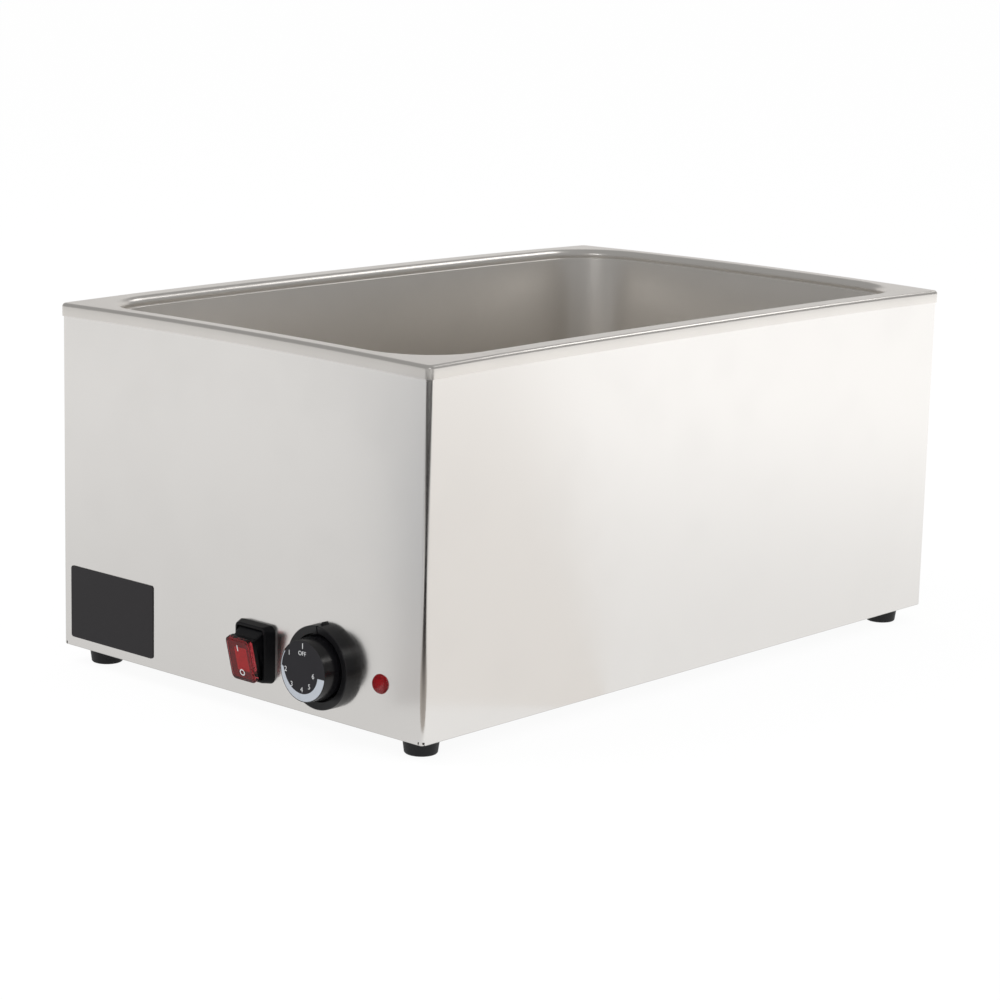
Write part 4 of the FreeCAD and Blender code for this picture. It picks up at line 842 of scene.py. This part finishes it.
# %% Scale
SCALE_OUT = 19.1
FINE_IN = 18.6
BROAD_IN = 17.6
WIDENING = 4.3
SQUARE_END = -2.15
GAP = (-6, 145)
COLD = -183
TURN = 176
scale = begin("dial_scale", "circle", vertices=120, radius=SCALE_OUT * MM, location=(0, 0, DIAL * MM))
choose("VERT", lambda item: GAP[0] < math.degrees(math.atan2(item.co.y, item.co.x)) < GAP[1])
bpy.ops.mesh.delete(type="VERT")
choose("EDGE")
bpy.ops.mesh.extrude_edges_move(TRANSFORM_OT_translate={"value": (0, 0, 0)})
mesh = bmesh.from_edit_mesh(scale.data)
for vertex in mesh.verts:
    if vertex.select:
        hotter = (math.degrees(math.atan2(vertex.co.y, vertex.co.x)) - COLD) % 360 / TURN
        inner = FINE_IN if hotter > 1.2 else BROAD_IN - WIDENING * min(1, hotter) ** 0.5
        vertex.co.xy *= inner / SCALE_OUT
for vertex in mesh.verts:
    if vertex.co.x > 0:
        vertex.co.y = min(vertex.co.y, SQUARE_END * MM)
bmesh.update_edit_mesh(scale.data)
choose("FACE")
grow(INK)
outward()
to_front(scale, KNOB)
finish_piece(scale, "scale_ink", "knob")

# %% [markdown]
# ## The pilot lamp's jewel
# The jewel is a hollow moulding of clear red plastic with a flange against the panel, a flat face and
# fine ribs behind it that scatter the light. A disc is pushed up in steps, each given as radius and
# height, and its back is hollowed. The ribs are left to its finish.

# %% Jewel
JEWEL_RINGS = [(6.3, 0.35), (6.15, 0.5), (6.0, 0.5), (5.7, 1.6), (5.3, 2.1), (4.7, 2.3)]
JEWEL_WALL = 2.8
HOLLOW = 1.3
radius, level = 6.3, 0
jewel = begin("pilot_jewel", "circle", vertices=32, radius=radius * MM, fill_type="NGON")
choose("FACE")
for ring_radius, ring_level in JEWEL_RINGS:
    grow(ring_level - level)
    bpy.ops.transform.resize(value=(ring_radius / radius, ring_radius / radius, 1))
    radius, level = ring_radius, ring_level
choose("FACE", lambda item: at_level(0, item))
bpy.ops.mesh.inset(thickness=JEWEL_WALL * MM)
grow(HOLLOW)
outward()
to_front(jewel, LAMP)
finish_piece(jewel, "lamp_red", replaces=["pilot_lens"])

# %% [markdown]
# ## Wool round the well
# The well is lagged with a mat of mineral wool. A flat ring would look like board, so a ring is cut
# finely and pushed about by cloud noise, which leaves a lumpy mat. The ring starts smaller than the solid
# by the height of a lump, so the mat keeps inside it.

# %% Wool
LUMP = 1.6
WOOL = 10
WOOL_CORNER = 54
CLOUD = 18
CUTS = 14
wool_low, wool_high = (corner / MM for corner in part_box("tank_insulation"))
wool_outline = (2 * (wool_high.x - LUMP), 2 * (wool_high.y - LUMP), WOOL_CORNER)
mat = rounded_outline("wool_mat", wool_outline, wool_low.z + LUMP, 10, 16)
choose("FACE")
bpy.ops.mesh.inset(thickness=(WOOL - 2 * LUMP) * MM)
bpy.ops.mesh.delete(type="FACE")
choose("FACE")
grow(wool_high.z - wool_low.z - 2 * LUMP)
choose("EDGE", lambda item: abs(item.verts[0].co.z - item.verts[1].co.z) > 0.1)
bpy.ops.mesh.subdivide(number_cuts=CUTS)
outward()
bpy.ops.object.mode_set(mode="OBJECT")
cloud = bpy.data.textures.new("wool_cloud", "CLOUDS")
cloud.noise_scale = CLOUD * MM
lumps = mat.modifiers.new("lumps", "DISPLACE")
lumps.texture = cloud
lumps.strength = 2 * LUMP * MM * 0.95
bpy.ops.object.modifier_apply(modifier="lumps")
finish_piece(mat, "mineral_wool", angle=80, replaces=["tank_insulation"])
print("wool inside", [round(side, 1) for side in (*wool_low, *wool_high)])

# %% [markdown]
# ## Floor
# The photograph was taken on a white sweep. The floor is a wide pale sheet that shows white to the camera
# and still takes a faint shadow. Polished panels mirror it, and there it carries painted shade and light:
# grey ahead of the front panel, where shade falls near the object, and paler with distance and toward
# the right, so rays off a mirror meet that tone instead.

# %% Floor
PAPER = (0.82, 0.82, 0.82)
GLOW = 1.3
CAMERA_TONE = 0.8
NEAR_SHADE = 0.566
RIGHT_TONE = 0.181
FAR_TONE = 0.098
FAR_RIGHT_TONE = 0.117
TO_THE_RIGHT = (0.729, 0.685, 0)
RIGHT_FADE = (-130, 10)
FAR_FADE = (250, 1400)
bpy.ops.object.select_all(action="DESELECT")
bpy.ops.mesh.primitive_plane_add(size=40, location=(0, 0, 0))
floor = bpy.context.object
floor.name = floor.data.name = "floor"
sweep = Finish("floor_white", base_color=PAPER, roughness=0.9, specular_ior_level=0.0)
rays, gloss, through = (sweep.node("LightPath", output=f"Is {kind} Ray")
                        for kind in ("Camera", "Glossy", "Transmission"))
across = sweep.node("VectorMath", [(0, sweep.points), (1, TO_THE_RIGHT)], output="Value",
                    operation="DOT_PRODUCT")
reach = sweep.node("VectorMath", [(0, sweep.points)], output="Value", operation="LENGTH")
right = sweep.smooth(across, *RIGHT_FADE)
away = sweep.smooth(reach, *FAR_FADE)
# painted shade and light that only mirrors meet: darker near the object, paler far off and to the right
mirrored_shade_and_light = right * RIGHT_TONE + (right * FAR_RIGHT_TONE + FAR_TONE) * away + NEAR_SHADE
glow = sweep.node("Emission", [(0, rays * CAMERA_TONE + (1 - rays) * mirrored_shade_and_light), (1, GLOW)])
share = sweep.node("MixShader", [(0, sweep.clamp(rays + gloss + through) * 0.9),
                                 (1, Wire(sweep, sweep.shader.outputs[0])), (2, glow)])
sweep.tree.links.new(share.socket, sweep.tree.nodes["Material Output"].inputs[0])
floor.data.materials.append(sweep.material)
print("floor laid")

# %% [markdown]
# ## Cards
# A studio holds dark and pale cards round polished steel to draw its edges. These do the same, seen only
# in mirror images. A card lies on the floor, stands upright or leans, points along a heading, and its
# colour runs from one end to the other between two places in millimetres.

# %% Cards that only the steel sees
WHITE = (1, 1, 1)
LAID, LEANING, STANDING = 0, 0.53, 1
EVEN = (-500, 500)
CORNER = Vector((0.169, -0.268, 0))
TOWARD = Vector((0.685, -0.729, 0))
ASIDE = Vector((-0.685, -0.729, 0))
BEHIND = Vector((0.685, 0.729, 0))


def card(name, width, length, place, slope, heading, near, far, fade, power=1.0):
    """Set up a sheet that only mirrors can see, its tone running along its length."""
    bpy.ops.object.select_all(action="DESELECT")
    turn = math.atan2(-heading.x, heading.y)
    bpy.ops.mesh.primitive_plane_add(size=1, location=place, rotation=(math.pi / 2 * slope, 0, turn))
    made = bpy.context.object
    made.name = made.data.name = name
    made.scale = (width, length, 1)
    paint = Finish(name, base_color=(0, 0, 0), specular_ior_level=0.0, emission_strength=power)
    along = paint.node("SeparateXYZ", [(0, paint.points)], output="Y")
    paint.set(emission_color=paint.mix(paint.smooth(along, *fade), near, far))
    made.data.materials.append(paint.material)
    made.visible_camera = made.visible_diffuse = made.visible_shadow = made.visible_transmission = False


print("cards can be set up")

# %% [markdown]
# Two dark cards ahead of the front right corner draw the line along its bend, a short one for its foot
# and a long one for the rest. Those beside them set the tone of both panels.

# %% Cards on the floor
card("dark_end", 5, 1.55, CORNER + TOWARD * 1.125 + Vector((0, 0, 0.006)), LAID, TOWARD,
     (0.85, 0.84, 0.83), (0.010, 0.008, 0.008), (-500, -280))
card("dark_near", 0.36, 0.66, CORNER + TOWARD * 0.37 + Vector((0, 0, 0.009)), LAID, TOWARD,
     (0.42, 0.39, 0.36), (0.012, 0.010, 0.010), (-500, -150))
card("dark_side", 0.6, 1.75, CORNER + ASIDE * 1.0 + Vector((0.204, -0.192, 0.003)), LAID, ASIDE,
     (0.58, 0.57, 0.57), (0.49, 0.50, 0.52), (-500, -200))
card("pale_side", 0.6, 1.75, CORNER + BEHIND * 1.0 + Vector((0.131, -0.123, 0.003)), LAID, BEHIND,
     (0.88, 0.86, 0.84), (0.96, 0.94, 0.92), (-500, 300))
print("cards lie round the front corner")

# %% [markdown]
# The rim's flange mirrors what stands behind the object, a grey wall. The soft box beside the camera puts
# a gleam on the knob, and the light above the back one on the lip of the rim.

# %% Cards round the object
card("grey_wall", 5, 1.4, TOWARD * -2.4 + Vector((0, 0, 0.7)), STANDING, TOWARD,
     (0.74, 0.73, 0.72), (0.76, 0.75, 0.74), (-300, 500))
card("soft_box", 0.55, 0.45, Vector((1.6, -1.85, 1.35)), STANDING, TOWARD, WHITE, WHITE, EVEN, 4.5)
card("top_light", 1.1, 0.5, Vector((0.44, 1.6, 1.55)), LEANING, Vector((-0.27, -0.96, 0)), WHITE, WHITE,
     EVEN, 2.2)
print("cards stand round the sweep")

# %% [markdown]
# ## Lamps
# Two broad lamps stand left and right of the camera and turn to the object. Mirrors don't show them,
# because their hard edges would be seen in the steel, and the cards take that part.

# %% Lamps
AIM = Vector((0, 0, 0.1))
for name, place, size, power in [("key_lamp", (-1.2, -1.6, 2.4), 1.8, 26),
                                 ("side_lamp", (2.6, 0.4, 2.0), 1.6, 22)]:
    bpy.ops.object.light_add(type="AREA", location=place)
    lamp = bpy.context.object
    lamp.name = name
    lamp.data.size = size
    lamp.data.energy = power
    lamp.visible_glossy = False
    lamp.rotation_euler = (AIM - Vector(place)).to_track_quat("-Z", "Y").to_euler()
    print(name, "at", place)

# %% [markdown]
# ## Sky
# The sky is white to the camera and greyer to every other kind of ray. Steel sees the darkest one, which
# keeps the well and the folds grey. Each kind of ray adds its own share to that tone.

# %% Sky
MIRRORED_SKY = 0.36
world = bpy.data.worlds.new("sky")
bpy.context.scene.world = world
world.use_nodes = True
links = world.node_tree.links
path = world.node_tree.nodes.new("ShaderNodeLightPath")
added = None
for ray, more in [("Is Diffuse Ray", 0.34), ("Is Transmission Ray", 0.54), ("Is Camera Ray", 0.64)]:
    before, added = added, world.node_tree.nodes.new("ShaderNodeMath")
    added.operation = "MULTIPLY_ADD"
    added.inputs[1].default_value = more
    added.inputs[2].default_value = MIRRORED_SKY
    links.new(path.outputs[ray], added.inputs[0])
    if before:
        links.new(before.outputs[0], added.inputs[2])
links.new(added.outputs[0], world.node_tree.nodes["Background"].inputs[0])
bpy.context.scene.view_settings.view_transform = "Standard"
print("stage set")
